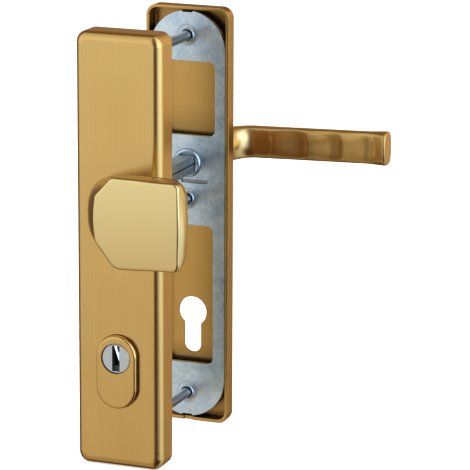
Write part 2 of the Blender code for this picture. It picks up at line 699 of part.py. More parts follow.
def make_spindle(finishes):
    """A square spindle sawn into two halves, which a set screw spreads in the lever."""
    start, end = INNER_FACE - SPINDLE_OUT, INNER_BACK + SPINDLE_IN - 10.0
    half = SPINDLE / 2
    tall = half - SPINDLE_SLIT / 2
    for side, way in (("upper", 1), ("lower", -1)):
        middle = SPINDLE_Z + way * (SPINDLE_SLIT / 2 + tall / 2)
        bar = piece("spindle_half_" + side,
                    prism(placed(rectangle(SPINDLE, tall, 0.3, 1), 0, middle), start, end),
                    finishes["zinc"], LEVER_AXIS)
        bore = placed(circle(SPREADER + 2 * FIT, 20), 0, SPINDLE_Z)
        cut(bar, prism(bore, end - SPREADER_LENGTH - FIT, end + 1), "spreader_bore_" + side)
    screw = piece("spindle_spreader", turned([
        (0, end - SPREADER_LENGTH), (SPREADER / 2 - 0.8, end - SPREADER_LENGTH),
        (SPREADER / 2, end - SPREADER_LENGTH + 0.8), (SPREADER / 2, end), (0, end)],
        0, SPINDLE_Z, 20), finishes["steel"], LEVER_AXIS)
    cut(screw, prism(placed(circle(2.6, 6), 0, SPINDLE_Z), end - 2.5, end + 1), "spreader_socket")


def make_spindle_driver(finishes):
    """The ring round the spindle that the return spring acts on."""
    ring = RING_WIDTH / 2
    front = MOUNTING_FACE - RING_PROUD
    flange = MOUNTING_BACK + FIT
    behind = flange + DRIVER_FLANGE_THICK
    back = INNER_INSIDE - FIT
    wide = DRIVER_FLANGE / 2
    driver = piece("spindle_driver", turned([
        (0, front), (ring - 0.5, front), (ring, front + 0.5), (ring, flange), (wide, flange),
        (wide, behind), (ring, behind), (ring, back), (0, back)], 0, SPINDLE_Z),
        finishes["zinc"], LEVER_AXIS)
    lug_height = DRIVER_LUG_REACH + 2.0
    lug_z = SPINDLE_Z - wide - DRIVER_LUG_REACH + lug_height / 2
    join(driver, prism(placed(rectangle(DRIVER_LUG, lug_height, 0.4, 1), 0, lug_z),
                       flange, behind), "driver_lug")
    square = placed(rectangle(SPINDLE + 2 * FIT, SPINDLE + 2 * FIT, 0.3, 1), 0, SPINDLE_Z)
    cut(driver, prism(square, front - 1, back + 1), "driver_square")
    coil = ring + FIT + RETURN_WIRE / 2 + 0.3
    start = behind + FIT + RETURN_WIRE / 2
    end = back - RETURN_WIRE / 2
    steps = 16
    count = int(RETURN_TURNS * steps)
    leg = wide + DRIVER_LUG_REACH - RETURN_WIRE
    path = [(0.0, start, SPINDLE_Z - leg)]
    for k in range(count + 1):
        angle = -pi / 2 + 2 * pi * k / steps
        path.append((coil * cos(angle), start + (end - start) * k / count,
                     SPINDLE_Z + coil * sin(angle)))
    path.append((0.0, end, SPINDLE_Z - leg))
    wire("return_spring", path, RETURN_WIRE, finishes["spring"])
    out = wide + STOP_PIN / 2 + FIT
    swing = radians(LEVER_STOP) + (DRIVER_LUG / 2 + STOP_PIN / 2 + FIT) / out
    for side, way in (("left", -1), ("right", 1)):
        x, z = way * out * sin(swing), SPINDLE_Z - out * cos(swing)
        piece("stop_pin_" + side, prism(placed(circle(STOP_PIN, 16), x, z), flange,
                                        back - FIT), finishes["zinc"])


def lever_section(centre, across, height, thick, full=1.0, dip=0.0):
    """A section of the lever: round where full is 1, squarer below that, and dished."""
    ring = []
    steps = 24
    for k in range(steps):
        angle = 2 * pi * k / steps
        c, s = cos(angle), sin(angle)
        u = abs(c) ** full * (1 if c >= 0 else -1)
        v = abs(s) ** full * (1 if s >= 0 else -1)
        if u > 0:
            u -= dip * u * u * (1.0 - 0.55 * v * v) / (thick / 2)
        point = Vector(centre) + Vector(across) * (u * thick / 2)
        ring.append((point.x, point.y, point.z + v * height / 2))
    return ring


def make_lever(finishes):
    """A round neck that bends into a grip with dished finger places towards the door."""
    base = INNER_INSIDE + FIT
    neck = LEVER_NECK
    rings = [lever_section((0, y, SPINDLE_Z), (1, 0, 0), neck, neck)
             for y in (base, GRIP_Y - LEVER_BEND)]
    turns = 5
    for k in range(1, turns + 1):
        part = k / turns
        angle = pi / 2 * part
        x = LEVER_BEND * (1 - cos(angle))
        y = GRIP_Y - LEVER_BEND + LEVER_BEND * sin(angle)
        thick = neck + (LEVER_THICK - neck) * part
        height = neck + (LEVER_HEIGHT - neck) * part
        rise = LEVER_STEP * part
        rings.append(lever_section((x, y, SPINDLE_Z + rise), (cos(angle), -sin(angle), 0),
                                   height, thick, 1.0 + (GRIP_FULLNESS - 1.0) * part))
    count = 18
    length = LEVER_LENGTH - LEVER_BEND
    for k in range(1, count + 1):
        x = LEVER_BEND + length * k / count
        rise = LEVER_STEP + LEVER_RISE * (x - LEVER_BEND)
        place = (LEVER_LENGTH - FINGER_FROM_TIP - x) / FINGER_PITCH
        dip = FINGER_DEPTH * abs(sin(pi * place)) if 0 < place < FINGER_COUNT else 0.0
        chamfer = TIP_CHAMFER if k == count else 0.0
        height = LEVER_HEIGHT - 2 * chamfer
        thick = LEVER_THICK - 2 * chamfer
        rings.append(lever_section((x, GRIP_Y, SPINDLE_Z + rise), (0, -1, 0), height, thick,
                                   GRIP_FULLNESS, dip))
    lever = piece("lever_handle", loft(rings), finishes["bronze_polished"], LEVER_AXIS)
    square = placed(rectangle(SPINDLE + 2 * FIT, SPINDLE + 2 * FIT, 0.3, 1), 0, SPINDLE_Z)
    cut(lever, prism(square, base - 1, INNER_BACK + SPINDLE_IN), "lever_square")
    y = INNER_BACK + GRUB_PLACE
    low = SPINDLE_Z - LEVER_NECK / 2
    hole = upright(GRUB + 2 * FIT, y, low - 1.0, SPINDLE_Z - SPINDLE / 2 + 1)
    cut(lever, hole, "grub_hole")
    top = SPINDLE_Z - SPINDLE / 2 - FIT
    grub = piece("lever_grub_screw", upright(GRUB, y, top - GRUB_LENGTH, top),
                 finishes["steel"], LEVER_AXIS)
    cut(grub, upright(2.9, y, top - GRUB_LENGTH - 1, top - GRUB_LENGTH + 2.0, 6), "grub_socket")


def upright(width, y, low, high, steps=20):
    """A round bar along Z."""
    ring = circle(width, steps)
    return loft([[(x, y + d, z) for x, d in ring] for z in (low, high)])


def make_lever_bush(finishes):
    bore = LEVER_NECK / 2 + RUNNING
    body = bore + BUSH_WALL
    seat = INNER_BACK + FIT
    piece("lever_bush", turned([
        (bore, INNER_INSIDE), (body, INNER_INSIDE), (body, seat), (BUSH_FLANGE / 2, seat),
        (BUSH_FLANGE / 2, seat + BUSH_FLANGE_THICK), (bore, seat + BUSH_FLANGE_THICK)],
        0, SPINDLE_Z, closed=True), finishes["plastic"])


def build():
    for obj in list(bpy.data.objects):
        bpy.data.objects.remove(obj, do_unlink=True)
    finishes = make_finishes()
    make_outer_cover(finishes)
    make_reinforcement_plate(finishes)
    make_threaded_sleeves(finishes)
    make_knob(finishes)
    make_knob_fixings(finishes)
    make_cylinder_cover(finishes)
    make_key_disc(finishes)
    make_disc_carrier(finishes)
    make_inner_cover(finishes)
    make_mounting_plate(finishes)
    make_bolts(finishes)
    make_spindle(finishes)
    make_spindle_driver(finishes)
    make_lever(finishes)
    make_lever_bush(finishes)


build()
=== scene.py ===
# %% [markdown]
# # A security door handle set, piece by piece
#
# The set is what a front door wears: outside, a long bronze plate with a fixed knob and a
# sprung cover over the lock cylinder; inside, a slimmer plate with a lever. Bolts and a
# square spindle join the two through the door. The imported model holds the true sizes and
# the joints. This file gives each piece a finely made mesh and a finish of its own.
#
# We start by loading that model as a frame. Nothing in it is ever moved.

# %% Load the frame
import json
from math import atan2, cos, pi, radians, sin, sqrt, tan

import bmesh
import bpy
from mathutils import Matrix, Vector


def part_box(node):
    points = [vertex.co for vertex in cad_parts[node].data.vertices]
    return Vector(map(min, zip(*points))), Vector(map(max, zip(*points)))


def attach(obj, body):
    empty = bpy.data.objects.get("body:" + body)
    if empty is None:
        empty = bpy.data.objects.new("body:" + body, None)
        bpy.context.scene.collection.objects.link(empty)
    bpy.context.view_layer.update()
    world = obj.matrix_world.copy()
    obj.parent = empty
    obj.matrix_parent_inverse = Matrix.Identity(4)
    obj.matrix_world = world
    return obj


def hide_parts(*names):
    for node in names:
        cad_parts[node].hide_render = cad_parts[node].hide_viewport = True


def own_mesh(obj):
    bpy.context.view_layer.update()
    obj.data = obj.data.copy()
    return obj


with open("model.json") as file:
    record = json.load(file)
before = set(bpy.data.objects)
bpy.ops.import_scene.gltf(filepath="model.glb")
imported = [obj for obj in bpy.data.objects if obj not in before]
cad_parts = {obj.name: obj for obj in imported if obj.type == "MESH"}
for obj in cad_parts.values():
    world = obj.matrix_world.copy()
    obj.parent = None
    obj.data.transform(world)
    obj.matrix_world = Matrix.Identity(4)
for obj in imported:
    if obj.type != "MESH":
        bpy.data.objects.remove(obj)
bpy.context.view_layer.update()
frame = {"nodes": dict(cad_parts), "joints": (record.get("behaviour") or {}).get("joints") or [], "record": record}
BODY_OF = {node: body for body, nodes in frame["record"]["behaviour"]["bodies"].items()
           for node in nodes}
SLOT_OF = {part["node"]: part["material_slot"] for part in frame["record"]["subparts"]}

# %% [markdown]
# ## Measuring from the frame
#
# Lengths in this file are in millimetres, as on a drawing, and one factor turns them into
# Blender's metres. A small class reads a node's box, so that a new piece takes its place
# and size from the model and not from a copied number.

# %% A node's box in millimetres
MM = 0.001


class Box:
    """The box of a CAD node, in millimetres."""

    def __init__(self, node):
        low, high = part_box(node)
        self.low = low / MM
        self.high = high / MM
        self.size = self.high - self.low
        self.middle = (self.high + self.low) / 2


outer = Box("outer_cover")
inner = Box("inner_cover")
mount = Box("mounting_plate")
steel = Box("reinforcement_plate")
disc_box = Box("key_disc")
SPINDLE_Z = frame["joints"][0]["pos_m"][2] / MM
CYLINDER_Z = disc_box.middle.z
BOLT_PLACES = {place: Box("through_bolt_" + place).middle.z for place in ("top", "middle", "bottom")}
print("spindle at", round(SPINDLE_Z, 2), "cylinder at", round(CYLINDER_Z, 2), BOLT_PLACES)

# %% [markdown]
# ## The camera
#
# A long lens far away keeps the two plates nearly parallel. The camera is described the way
# a photographer would: which way round the object it stands, how high, how far, and which
# point it looks at, so each number can be changed on its own.

# %% Place the camera
AZIMUTH, ELEVATION, ROLL = radians(21.66), radians(13.54), radians(0.25)
DISTANCE, LENS, SENSOR = 1732.8, 235.1, 36.0
AIM_RIGHT, AIM_UP = 59.28, 7.2

toward = Vector((sin(AZIMUTH) * cos(ELEVATION), -cos(AZIMUTH) * cos(ELEVATION), sin(ELEVATION)))
right = Vector((cos(AZIMUTH), sin(AZIMUTH), 0.0))
above = toward.cross(right)
camera_data = bpy.data.cameras.new("camera")
camera_data.lens = LENS
camera_data.sensor_width = SENSOR
camera_data.clip_end = 20.0
camera = bpy.data.objects.new("camera", camera_data)
turn = Matrix((right, above, toward)).transposed() @ Matrix.Rotation(ROLL, 3, "Z")
place = (toward * DISTANCE + right * AIM_RIGHT + above * AIM_UP) * MM
camera.matrix_world = Matrix.Translation(place) @ turn.to_4x4()
bpy.context.collection.objects.link(camera)
bpy.context.scene.camera = camera
print("camera at", [round(v, 3) for v in place])

# %% [markdown]
# ## Writing shader maths as sums
#
# A finish is a web of small nodes, and wiring them by hand hides the idea. `Wire` holds one
# socket and knows how to add, multiply and so on: numbers go through Math nodes, vectors
# through Vector Math and colours through Mix. `Web` is a tree of nodes, and its `node`
# method adds any other kind of node. `Finish` is the web of one material.

# %% A socket that can be used in sums
class Wire:
    """The output of a node, with the usual operators."""

    def __init__(self, web, socket):
        self.web = web
        self.socket = socket

    def combine(self, operation, other, swapped=False):
        first, second = (other, self) if swapped else (self, other)
        kinds = {w.socket.type for w in (first, second) if isinstance(w, Wire)}
        if "RGBA" in kinds:
            return self.web.node("Mix", {"data_type": "RGBA", "blend_type": operation},
                                    {0: 1.0, 6: first, 7: second}, 2)
        if "VECTOR" in kinds:
            return self.web.node("VectorMath", {"operation": operation}, {0: first, 1: second})
        return self.web.math(operation, first, second)

    def __add__(self, other):
        return self.combine("ADD", other)

    def __sub__(self, other):
        return self.combine("SUBTRACT", other)

    def __rsub__(self, other):
        return self.combine("SUBTRACT", other, True)

    def __mul__(self, other):
        return self.combine("MULTIPLY", other)

    __radd__ = __add__
    __rmul__ = __mul__


class Web:
    """A tree of shader nodes."""

    def __init__(self, tree):
        self.tree = tree

    def feed(self, socket, value):
        if isinstance(value, Wire):
            self.tree.links.new(value.socket, socket)
        elif isinstance(value, (tuple, list)) and len(socket.default_value) == 4:
            socket.default_value = (*value[:3], 1.0)
        elif isinstance(value, (int, float)) and hasattr(socket.default_value, "__len__"):
            socket.default_value = [value] * len(socket.default_value)
        else:
            socket.default_value = value

    def node(self, kind, settings=None, inputs=None, output=0):
        node = self.tree.nodes.new("ShaderNode" + kind)
        for key, value in (settings or {}).items():
            if key == "stops":
                stops = node.color_ramp.elements
                while len(stops) < len(value):
                    stops.new(1.0)
                for stop, (position, colour) in zip(stops, value):
                    stop.position = position
                    stop.color = (*colour, 1.0)
            else:
                setattr(node, key, value)
        for socket, value in (inputs or {}).items():
            self.feed(node.inputs[socket], value)
        return Wire(self, node.outputs[output])

    def math(self, operation, first, second=0.0):
        """A Math node, for what has no sign of its own, such as the larger of two numbers."""
        return self.node("Math", {"operation": operation}, {0: first, 1: second})

    def xyz(self, vector):
        """The three numbers of a vector."""
        split = self.node("SeparateXYZ", {}, {0: vector})
        return [Wire(self, socket) for socket in split.socket.node.outputs]

    def place(self):
        """Where a point is on the piece, in metres."""
        return self.node("TexCoord", output=3)

    def noise(self, where, scale, detail=3.0, rough=0.5):
        return self.node("TexNoise", {}, {"Vector": where, "Scale": scale, "Detail": detail,
                                          "Roughness": rough})

    def remap(self, value, low, high, to_low=0.0, to_high=1.0):
        return self.node("MapRange", {}, {0: value, 1: low, 2: high, 3: to_low, 4: to_high})

    def between(self, factor, first, second):
        return self.node("Mix", {"data_type": "RGBA"}, {0: factor, 6: first, 7: second}, 2)

    def bump(self, height, distance, strength=1.0):
        return self.node("Bump", {}, {"Height": height, "Distance": distance,
                                      "Strength": strength})


class Finish(Web):
    """One material: its nodes, and its shader, whose steady values are set at once."""

    def __init__(self, name, **steady):
        self.material = bpy.data.materials.new(name)
        self.material.use_nodes = True
        super().__init__(self.material.node_tree)
        self.shader = self.tree.nodes["Principled BSDF"]
        for socket, value in steady.items():
            self.shader.inputs[socket.replace("_", " ")].default_value = value

    def out(self, **varying):
        for socket, value in varying.items():
            self.feed(self.shader.inputs[socket.replace("_", " ")], value)
        return self.material


print("wires ready")

# %% [markdown]
# ## The light round the set
#
# Satin metal looks like what surrounds it, so the surroundings matter as much as the metal.
# The world is painted as a studio seen from the set: a cool white screen to the front left,
# a brighter one to the right, a dark gap between them where the camera stands, and a warm
# dim room behind. One ramp goes round the horizon, a second goes from the floor to the
# ceiling, and their product is the light from each direction. The gap draws the fine dark
# line along each rounded edge, and the right-hand screen draws the pale line beside it. The
# right-hand screen leans and fades, so the gap is wider near the floor.

# %% Paint the surroundings
scene = bpy.context.scene
scene.view_settings.view_transform = "Standard"
SCREEN, BRIGHT_SCREEN = (1.0, 1.08, 1.2), (1.8, 2.4, 3.5)
ROOM, GAP_DARK, SIDE_DARK = (0.80, 0.66, 0.46), (0.15, 0.09, 0.05), (0.16, 0.11, 0.07)
BEHIND = (0.34, 0.23, 0.13)
ROUND_THE_HORIZON = [
    (-180, BEHIND), (-150, BEHIND), (-110, SIDE_DARK), (-92, SIDE_DARK), (-76, SCREEN),
    (-6, SCREEN), (4, GAP_DARK), (36, GAP_DARK), (48, (1.4, 1.8, 2.4)), (80, BRIGHT_SCREEN),
    (104, (1.5, 1.9, 2.4)), (122, ROOM), (160, ROOM), (180, BEHIND)]
FLOOR_TO_CEILING = [
    (-90, (0.36, 0.28, 0.21)), (-50, (0.52, 0.41, 0.29)), (-20, (0.56, 0.44, 0.31)),
    (-7, (1.0, 1.0, 1.0)), (25, (1.0, 0.96, 0.9)), (50, (0.82, 0.76, 0.66)),
    (90, (0.45, 0.38, 0.30))]


def ramp_over(web, value, stops, unit):
    """A colour that depends on a value, between stops that are given in the unit."""
    low, high = stops[0][0], stops[-1][0]
    spread = [((stop - low) / (high - low), colour) for stop, colour in stops]
    return web.node("ValToRGB", {"stops": spread},
                    {0: web.remap(value, low * unit, high * unit)})


world = bpy.data.worlds.new("studio")
scene.world = world
world.use_nodes = True
air = Web(world.node_tree)
direction = air.node("TexCoord")
across, ahead, up = air.xyz(direction)
azimuth = air.math("ARCTAN2", across, ahead * -1.0)
elevation = air.math("ARCSINE", up)
LEAN_FROM, LEAN_TO, MIDDLE_OF_GAP = radians(-9), radians(-19), radians(20)
lean = air.remap(elevation, LEAN_TO, LEAN_FROM, radians(38), 0.0)
widened = air.math("MINIMUM", azimuth, air.math("MAXIMUM", azimuth - lean, MIDDLE_OF_GAP))
right_hand = air.math("GREATER_THAN", azimuth, MIDDLE_OF_GAP)
dimmed = 1.0 - right_hand * air.remap(elevation, LEAN_TO, LEAN_FROM, 0.3, 0.0)
surroundings = (ramp_over(air, widened, ROUND_THE_HORIZON, radians(1))
                * ramp_over(air, elevation, FLOOR_TO_CEILING, radians(1)) * dimmed)
seen_directly = air.node("LightPath")
air.feed(air.tree.nodes["Background"].inputs["Color"],
         air.between(seen_directly, surroundings, (1.0, 1.0, 1.0)))
print("surroundings painted with", len(ROUND_THE_HORIZON) + len(FLOOR_TO_CEILING), "stops")

# %% [markdown]
# ## Floor and lamps
#
# The floor is a plain pale sheet. It glows a little by itself, so that it stays white far
# from the lamps, and the metal doesn't mirror it, because the painted surroundings already
# have their own lower half. Three large soft lamps give the floor its faint shadows.

# %% Lay the floor and hang the lamps
def softbox(name, azimuth, elevation, distance, width, height, power):
    """A rectangular lamp that faces the middle of the set; angles as for the camera."""
    a, e = radians(azimuth), radians(elevation)
    way = Vector((sin(a) * cos(e), -cos(a) * cos(e), sin(e)))
    data = bpy.data.lights.new(name, "AREA")
    data.shape = "RECTANGLE"
    data.size, data.size_y = width, height
    data.energy = power
    lamp = bpy.data.objects.new(name, data)
    lamp.location = way * distance + Vector((0, 0.02, 0))
    lamp.rotation_euler = way.to_track_quat("Z", "Y").to_euler()
    lamp.visible_glossy = False
    scene.collection.objects.link(lamp)


softbox("lamp_left", -40, 50, 1.8, 1.4, 1.4, 14)
softbox("lamp_right", 70, 45, 1.8, 1.4, 1.4, 12)
softbox("lamp_above", 160, 75, 1.8, 1.8, 1.8, 16)

SHEET = 15.0
bm = bmesh.new()
bmesh.ops.create_grid(bm, x_segments=1, y_segments=1, size=SHEET,
                      matrix=Matrix.Translation((0, 0, outer.low.z * MM)))
floor_mesh = bpy.data.meshes.new("floor")
bm.to_mesh(floor_mesh)
bm.free()
floor = bpy.data.objects.new("floor", floor_mesh)
floor.visible_glossy = False
scene.collection.objects.link(floor)
paper = Finish("pale_paper", Specular_IOR_Level=0.0, Roughness=0.9,
               Emission_Color=(1.0, 1.0, 1.0, 1.0), Emission_Strength=0.45)
fibre = paper.noise(paper.place(), 60.0, 3.0)
floor.data.materials.append(paper.out(
    Base_Color=paper.between(fibre, (0.92, 0.92, 0.92), (0.95, 0.95, 0.95))))

# %% [markdown]
# ## Satin bronze
#
# The covers are aluminium, brushed along their length and then anodised to bronze. The
# brushing is noise stretched a hundredfold along Z: it varies the colour by a few percent,
# varies the roughness a little more, and cuts hair-fine grooves with a bump. Handling
# leaves larger, softer patches, which a second and slower noise gives. Painted shade can
# mix the colour towards a dark brown, and the knob and inner cover get painted lighter and
# darker copies.

# %% The satin bronze of the covers and the knob
def stretched(finish, across, along):
    """A point's place, squeezed so that noise runs in streaks along Z."""
    return finish.place() * Vector((across, across, along))


def satin_bronze(name, light, dark, roughness, brushing=1.0, shade=None):
    """Brushed bronze; shade says where painted shade mixes the colour towards a dark brown."""
    bronze = Finish(name, Metallic=1.0)
    streaks = bronze.noise(stretched(bronze, 2200.0, 14.0), 1.0, 4.0, 0.65)
    patches = bronze.noise(bronze.place(), 32.0, 3.0)
    tone = bronze.remap(streaks * 0.6 * brushing + patches * 0.4, 0.06 + 0.3 * brushing,
                        0.34 + 0.3 * brushing)
    colour = bronze.between(tone, dark, light)
    # painted shade: the colour is mixed towards a dark brown where shade says so
    if shade:
        colour = bronze.between(shade(bronze), colour, PAINTED_SHADE_BROWN)
    rough = roughness + (streaks - 0.5) * 0.12 * brushing + (patches - 0.5) * 0.06
    return bronze.out(Base_Color=colour, Roughness=rough,
                      Normal=bronze.bump(streaks, 0.00002 * brushing, 0.5))


def knob_painted_shade(bronze):
    """Painted shade: darker on the neck, behind the grip, and on the grip's upward faces."""
    _, depth, _ = bronze.xyz(bronze.place())
    _, _, upward = bronze.xyz(bronze.node("NewGeometry", output=1))
    # painted shade on the neck, from just in front of the grip's back towards the plate
    neck = bronze.remap(depth, -0.055, -0.049, 0.0, 0.75)
    # painted shade on the faces that look upward
    top = bronze.remap(upward, 0.45, 0.9, 0.0, 0.85)
    return bronze.math("MAXIMUM", neck, top)


# Painted shade inside the inner cover by height in mm: darker at the ends and by the lower edges of the plate's
# windows.
PAINTED_SHADE_BY_HEIGHT = [(-125, 0.95), (-100, 0.9), (-88, 0.8), (-78, 0.05), (40, 0.0), (47, 0.85), (66, 0.05),
        (96, 0.0), (110, 0.8), (125, 0.98)]
SHADED_HALF_WIDTH, SHADED_FROM, SHADED_TO, WALLS_FROM = 24.3 * MM, 85.8 * MM, 93.6 * MM, 25.5 * MM


def inner_painted_shade(bronze):
    """Painted shade inside the inner cover, at its ends and below the plate's windows, and on its outer side
    walls.
    """
    x, y, z = bronze.xyz(bronze.place())
    aside = bronze.math("ABSOLUTE", x)
    within = bronze.math("LESS_THAN", aside, SHADED_HALF_WIDTH)
    deep = bronze.math("GREATER_THAN", y, SHADED_FROM)
    shallow = bronze.math("LESS_THAN", y, SHADED_TO)
    amount = ramp_over(bronze, z, [(height, (share,) * 3) for height, share in PAINTED_SHADE_BY_HEIGHT], MM)
    inside = bronze.math("MULTIPLY", amount, within * deep * shallow)
    # painted shade on the outer side walls as well
    return inside + bronze.math("GREATER_THAN", aside, WALLS_FROM) * 0.4


# the dark brown that painted shade mixes into the bronze
PAINTED_SHADE_BROWN = (0.34, 0.19, 0.055)
SATIN = satin_bronze("bronze_satin", (0.77, 0.505, 0.17), (0.70, 0.45, 0.145), 0.25, 1.0)
# The knob's bronze is a lighter copy of the covers' bronze: painted light.
KNOB_SATIN_PAINTED_LIGHTER = satin_bronze("bronze_knob", (0.88, 0.68, 0.305), (0.85, 0.65, 0.285), 0.26,
                          0.2, knob_painted_shade)
# The inner cover's bronze is a darker, more orange copy: painted shade.
INNER_SATIN_PAINTED_DARKER = satin_bronze("bronze_inner", (0.66, 0.385, 0.105), (0.60, 0.345, 0.09), 0.27,
                           0.4, inner_painted_shade)
print(SATIN.name, KNOB_SATIN_PAINTED_LIGHTER.name, INNER_SATIN_PAINTED_DARKER.name)

# %% [markdown]
# ## Polished bronze
#
# The lever is the same alloy, but hands and polishing wheels have smoothed it. Its finish is
# darker and glossier, with a slight orange-peel ripple that makes reflections waver, and a
# brown bloom where polish stays in the hollows.

# %% The lever's polished bronze
def polished_bronze():
    bronze = Finish("bronze_polished", Metallic=1.0)
    ripple = bronze.noise(bronze.place(), 160.0, 2.0)
    bloom = bronze.noise(bronze.place(), 55.0, 3.0)
    length, _, _ = bronze.xyz(bronze.place())
    # painted light: lighter near the neck and bend, darker along the grip
    painted_lighter_near_neck = bronze.between(bronze.remap(length, 0.02, 0.065), (0.84, 0.60, 0.27),
                          (0.74, 0.475, 0.15))
    colour = bronze.between(bronze.remap(bloom, 0.30, 0.75, 0.0, 0.5), painted_lighter_near_neck, (0.62, 0.40, 0.13))
    rough = bronze.remap(ripple + bloom, 0.7, 1.3, 0.27, 0.34)
    return bronze.out(Base_Color=colour, Roughness=rough, Normal=bronze.bump(ripple, 0.0001, 0.25))


POLISHED = polished_bronze()
print(POLISHED.name)

# %% [markdown]
# ## Zinc-plated steel
#
# Electroplated zinc is a cool grey with a cloudy bloom. Clouds of two sizes shift the colour
# between a pale and a blue grey and make some patches duller than others, and a fine grain
# breaks up the highlights.

# %% Zinc plating
def zinc_plating(name, pale, deep, roughness, relief=0.00018):
    zinc = Finish(name, Metallic=1.0)
    clouds = zinc.noise(zinc.place(), 95.0, 4.0, 0.6)
    blotches = zinc.noise(zinc.place(), 420.0, 3.0, 0.7)
    grain = zinc.noise(zinc.place(), 2600.0, 2.0)
    tone = zinc.remap(clouds * 0.6 + blotches * 0.4, 0.35, 0.65)
    colour = zinc.between(tone, deep, pale)
    rough = roughness + (blotches - 0.5) * 0.12 + (clouds - 0.5) * 0.12
    height = blotches * 0.85 + grain * 0.15
    return zinc.out(Base_Color=colour, Roughness=rough, Normal=zinc.bump(height, relief, 0.45))


ZINC = zinc_plating("zinc_plating", (0.85, 0.95, 0.99), (0.46, 0.61, 0.71), 0.33)
# A darker copy of the zinc, which paints shade into the plate's groove and onto the spindle.
ZINC_PAINTED_SHADE = zinc_plating("zinc_dull", (0.46, 0.50, 0.50), (0.30, 0.335, 0.34), 0.40, 0.00006)
# A darker copy of the zinc for the collars: painted shade.
COLLAR_ZINC_PAINTED_DARKER = zinc_plating("zinc_collar", (0.70, 0.77, 0.80), (0.48, 0.55, 0.59), 0.38, 0.00006)
print(ZINC.name, ZINC_PAINTED_SHADE.name, COLLAR_ZINC_PAINTED_DARKER.name)

# %% [markdown]
# ## Bright steel, spring steel and plastic
#
# Turned steel shows rings or strokes from the tool; drawn wire shows lines along it; moulded
# plastic has a fine spark-eroded grain. One function covers both metals, because only their
# colour, gloss and the stretch of the tool marks differ.

# %% The small parts' finishes
def tooled_steel(name, pale, deep, roughness, across, along):
    metal = Finish(name, Metallic=1.0)
    marks = metal.noise(stretched(metal, across, along), 1.0, 3.0)
    haze = metal.noise(metal.place(), 180.0, 2.0)
    colour = metal.between(metal.remap(marks, 0.35, 0.65), deep, pale)
    rough = roughness + (marks - 0.5) * 0.15 + (haze - 0.5) * 0.08
    return metal.out(Base_Color=colour, Roughness=rough, Normal=metal.bump(marks, 0.00002, 0.5))


def moulded_plastic():
    plastic = Finish("black_plastic", IOR=1.5)
    grain = plastic.noise(plastic.place(), 3500.0, 2.0)
    haze = plastic.noise(plastic.place(), 120.0, 2.0)
    colour = plastic.between(haze, (0.018, 0.018, 0.02), (0.035, 0.034, 0.034))
    return plastic.out(Base_Color=colour, Roughness=0.42 + (haze - 0.5) * 0.15,
                       Normal=plastic.bump(grain, 0.00003, 0.4))


BRIGHT = tooled_steel("bright_steel", (0.68, 0.72, 0.74), (0.57, 0.62, 0.65), 0.26, 2400.0, 30.0)
POLISHED_STEEL = tooled_steel("polished_steel", (0.92, 0.93, 0.94), (0.85, 0.87, 0.88), 0.15,
                              900.0, 60.0)
WIRE = tooled_steel("spring_steel", (0.46, 0.47, 0.49), (0.30, 0.31, 0.33), 0.30, 900.0, 900.0)
BLACK_PLASTIC_AND_SLOT_SHADE = moulded_plastic()
FINISHES = {"bronze_anodised": SATIN, "bronze_polished": POLISHED, "zinc_plated_steel": ZINC,
            "bright_steel": BRIGHT, "spring_steel": WIRE, "black_plastic": BLACK_PLASTIC_AND_SLOT_SHADE}
print(len(FINISHES), "finishes")

# %% [markdown]
# ## Outlines
#
# Most pieces are flat shapes pushed along Y, so we first draw outlines in X and Z. One
# function rounds any polygon's corners with true arcs; rectangles, ovals and the profile
# cylinder's keyhole shape are built on it.

# %% Draw outlines
def circle(width, steps=64):
    return [(width / 2 * cos((k + 0.3) * 2 * pi / steps),
             width / 2 * sin((k + 0.3) * 2 * pi / steps)) for k in range(steps)]


def rounded(corners, steps=8):
    """A closed outline through corners (x, z, radius), each turned into an arc."""
    points = []
    for k, (x, z, radius) in enumerate(corners):
        here = Vector((x, z))
        back = (Vector(corners[k - 1][:2]) - here).normalized()
        ahead = (Vector(corners[(k + 1) % len(corners)][:2]) - here).normalized()
        half = back.angle(ahead) / 2
        centre = here + (back + ahead).normalized() * radius / sin(half)
        start = here + back * radius / tan(half) - centre
        end = here + ahead * radius / tan(half) - centre
        first = atan2(start.y, start.x)
        sweep = (atan2(end.y, end.x) - first + pi) % (2 * pi) - pi
        for n in range(steps + 1):
            angle = first + sweep * n / steps
            points.append((centre.x + radius * cos(angle), centre.y + radius * sin(angle)))
    return points


def rectangle(width, height, radius, steps=8):
    x, z = width / 2, height / 2
    return rounded([(x, -z, radius), (x, z, radius), (-x, z, radius), (-x, -z, radius)], steps)


def oval(width, height, steps=20):
    return rectangle(width, height, width / 2 - 0.01, steps)


def quarter(steps, first=0):
    """The sine and cosine at even steps of a quarter turn."""
    return [(sin(pi / 2 * k / steps), cos(pi / 2 * k / steps)) for k in range(first, steps + 1)]


EURO_ROUND, EURO_BODY, EURO_HEIGHT = 17.8, 10.9, 34.2


def euro_profile(clearance=0.0, steps=40):
    """The profile cylinder's outline: a round over a straight-sided body."""
    radius, half = EURO_ROUND / 2 + clearance, EURO_BODY / 2 + clearance
    foot = EURO_ROUND / 2 - EURO_HEIGHT - clearance + half
    join = atan2(-sqrt(radius * radius - half * half), half)
    sweep = pi - 2 * join
    arc = [(radius * cos(join + sweep * k / steps), radius * sin(join + sweep * k / steps))
           for k in range(steps + 1)]
    end = [(-half * cos(k * pi / 16), foot - half * sin(k * pi / 16)) for k in range(17)]
    return arc + end


def shifted(outline, x=0.0, z=0.0):
    return [(px + x, pz + z) for px, pz in outline]


def at(outline, y):
    """An outline as a ring of points in space, at depth y."""
    return [(x, y, z) for x, z in outline]


print("euro profile has", len(euro_profile()), "points")

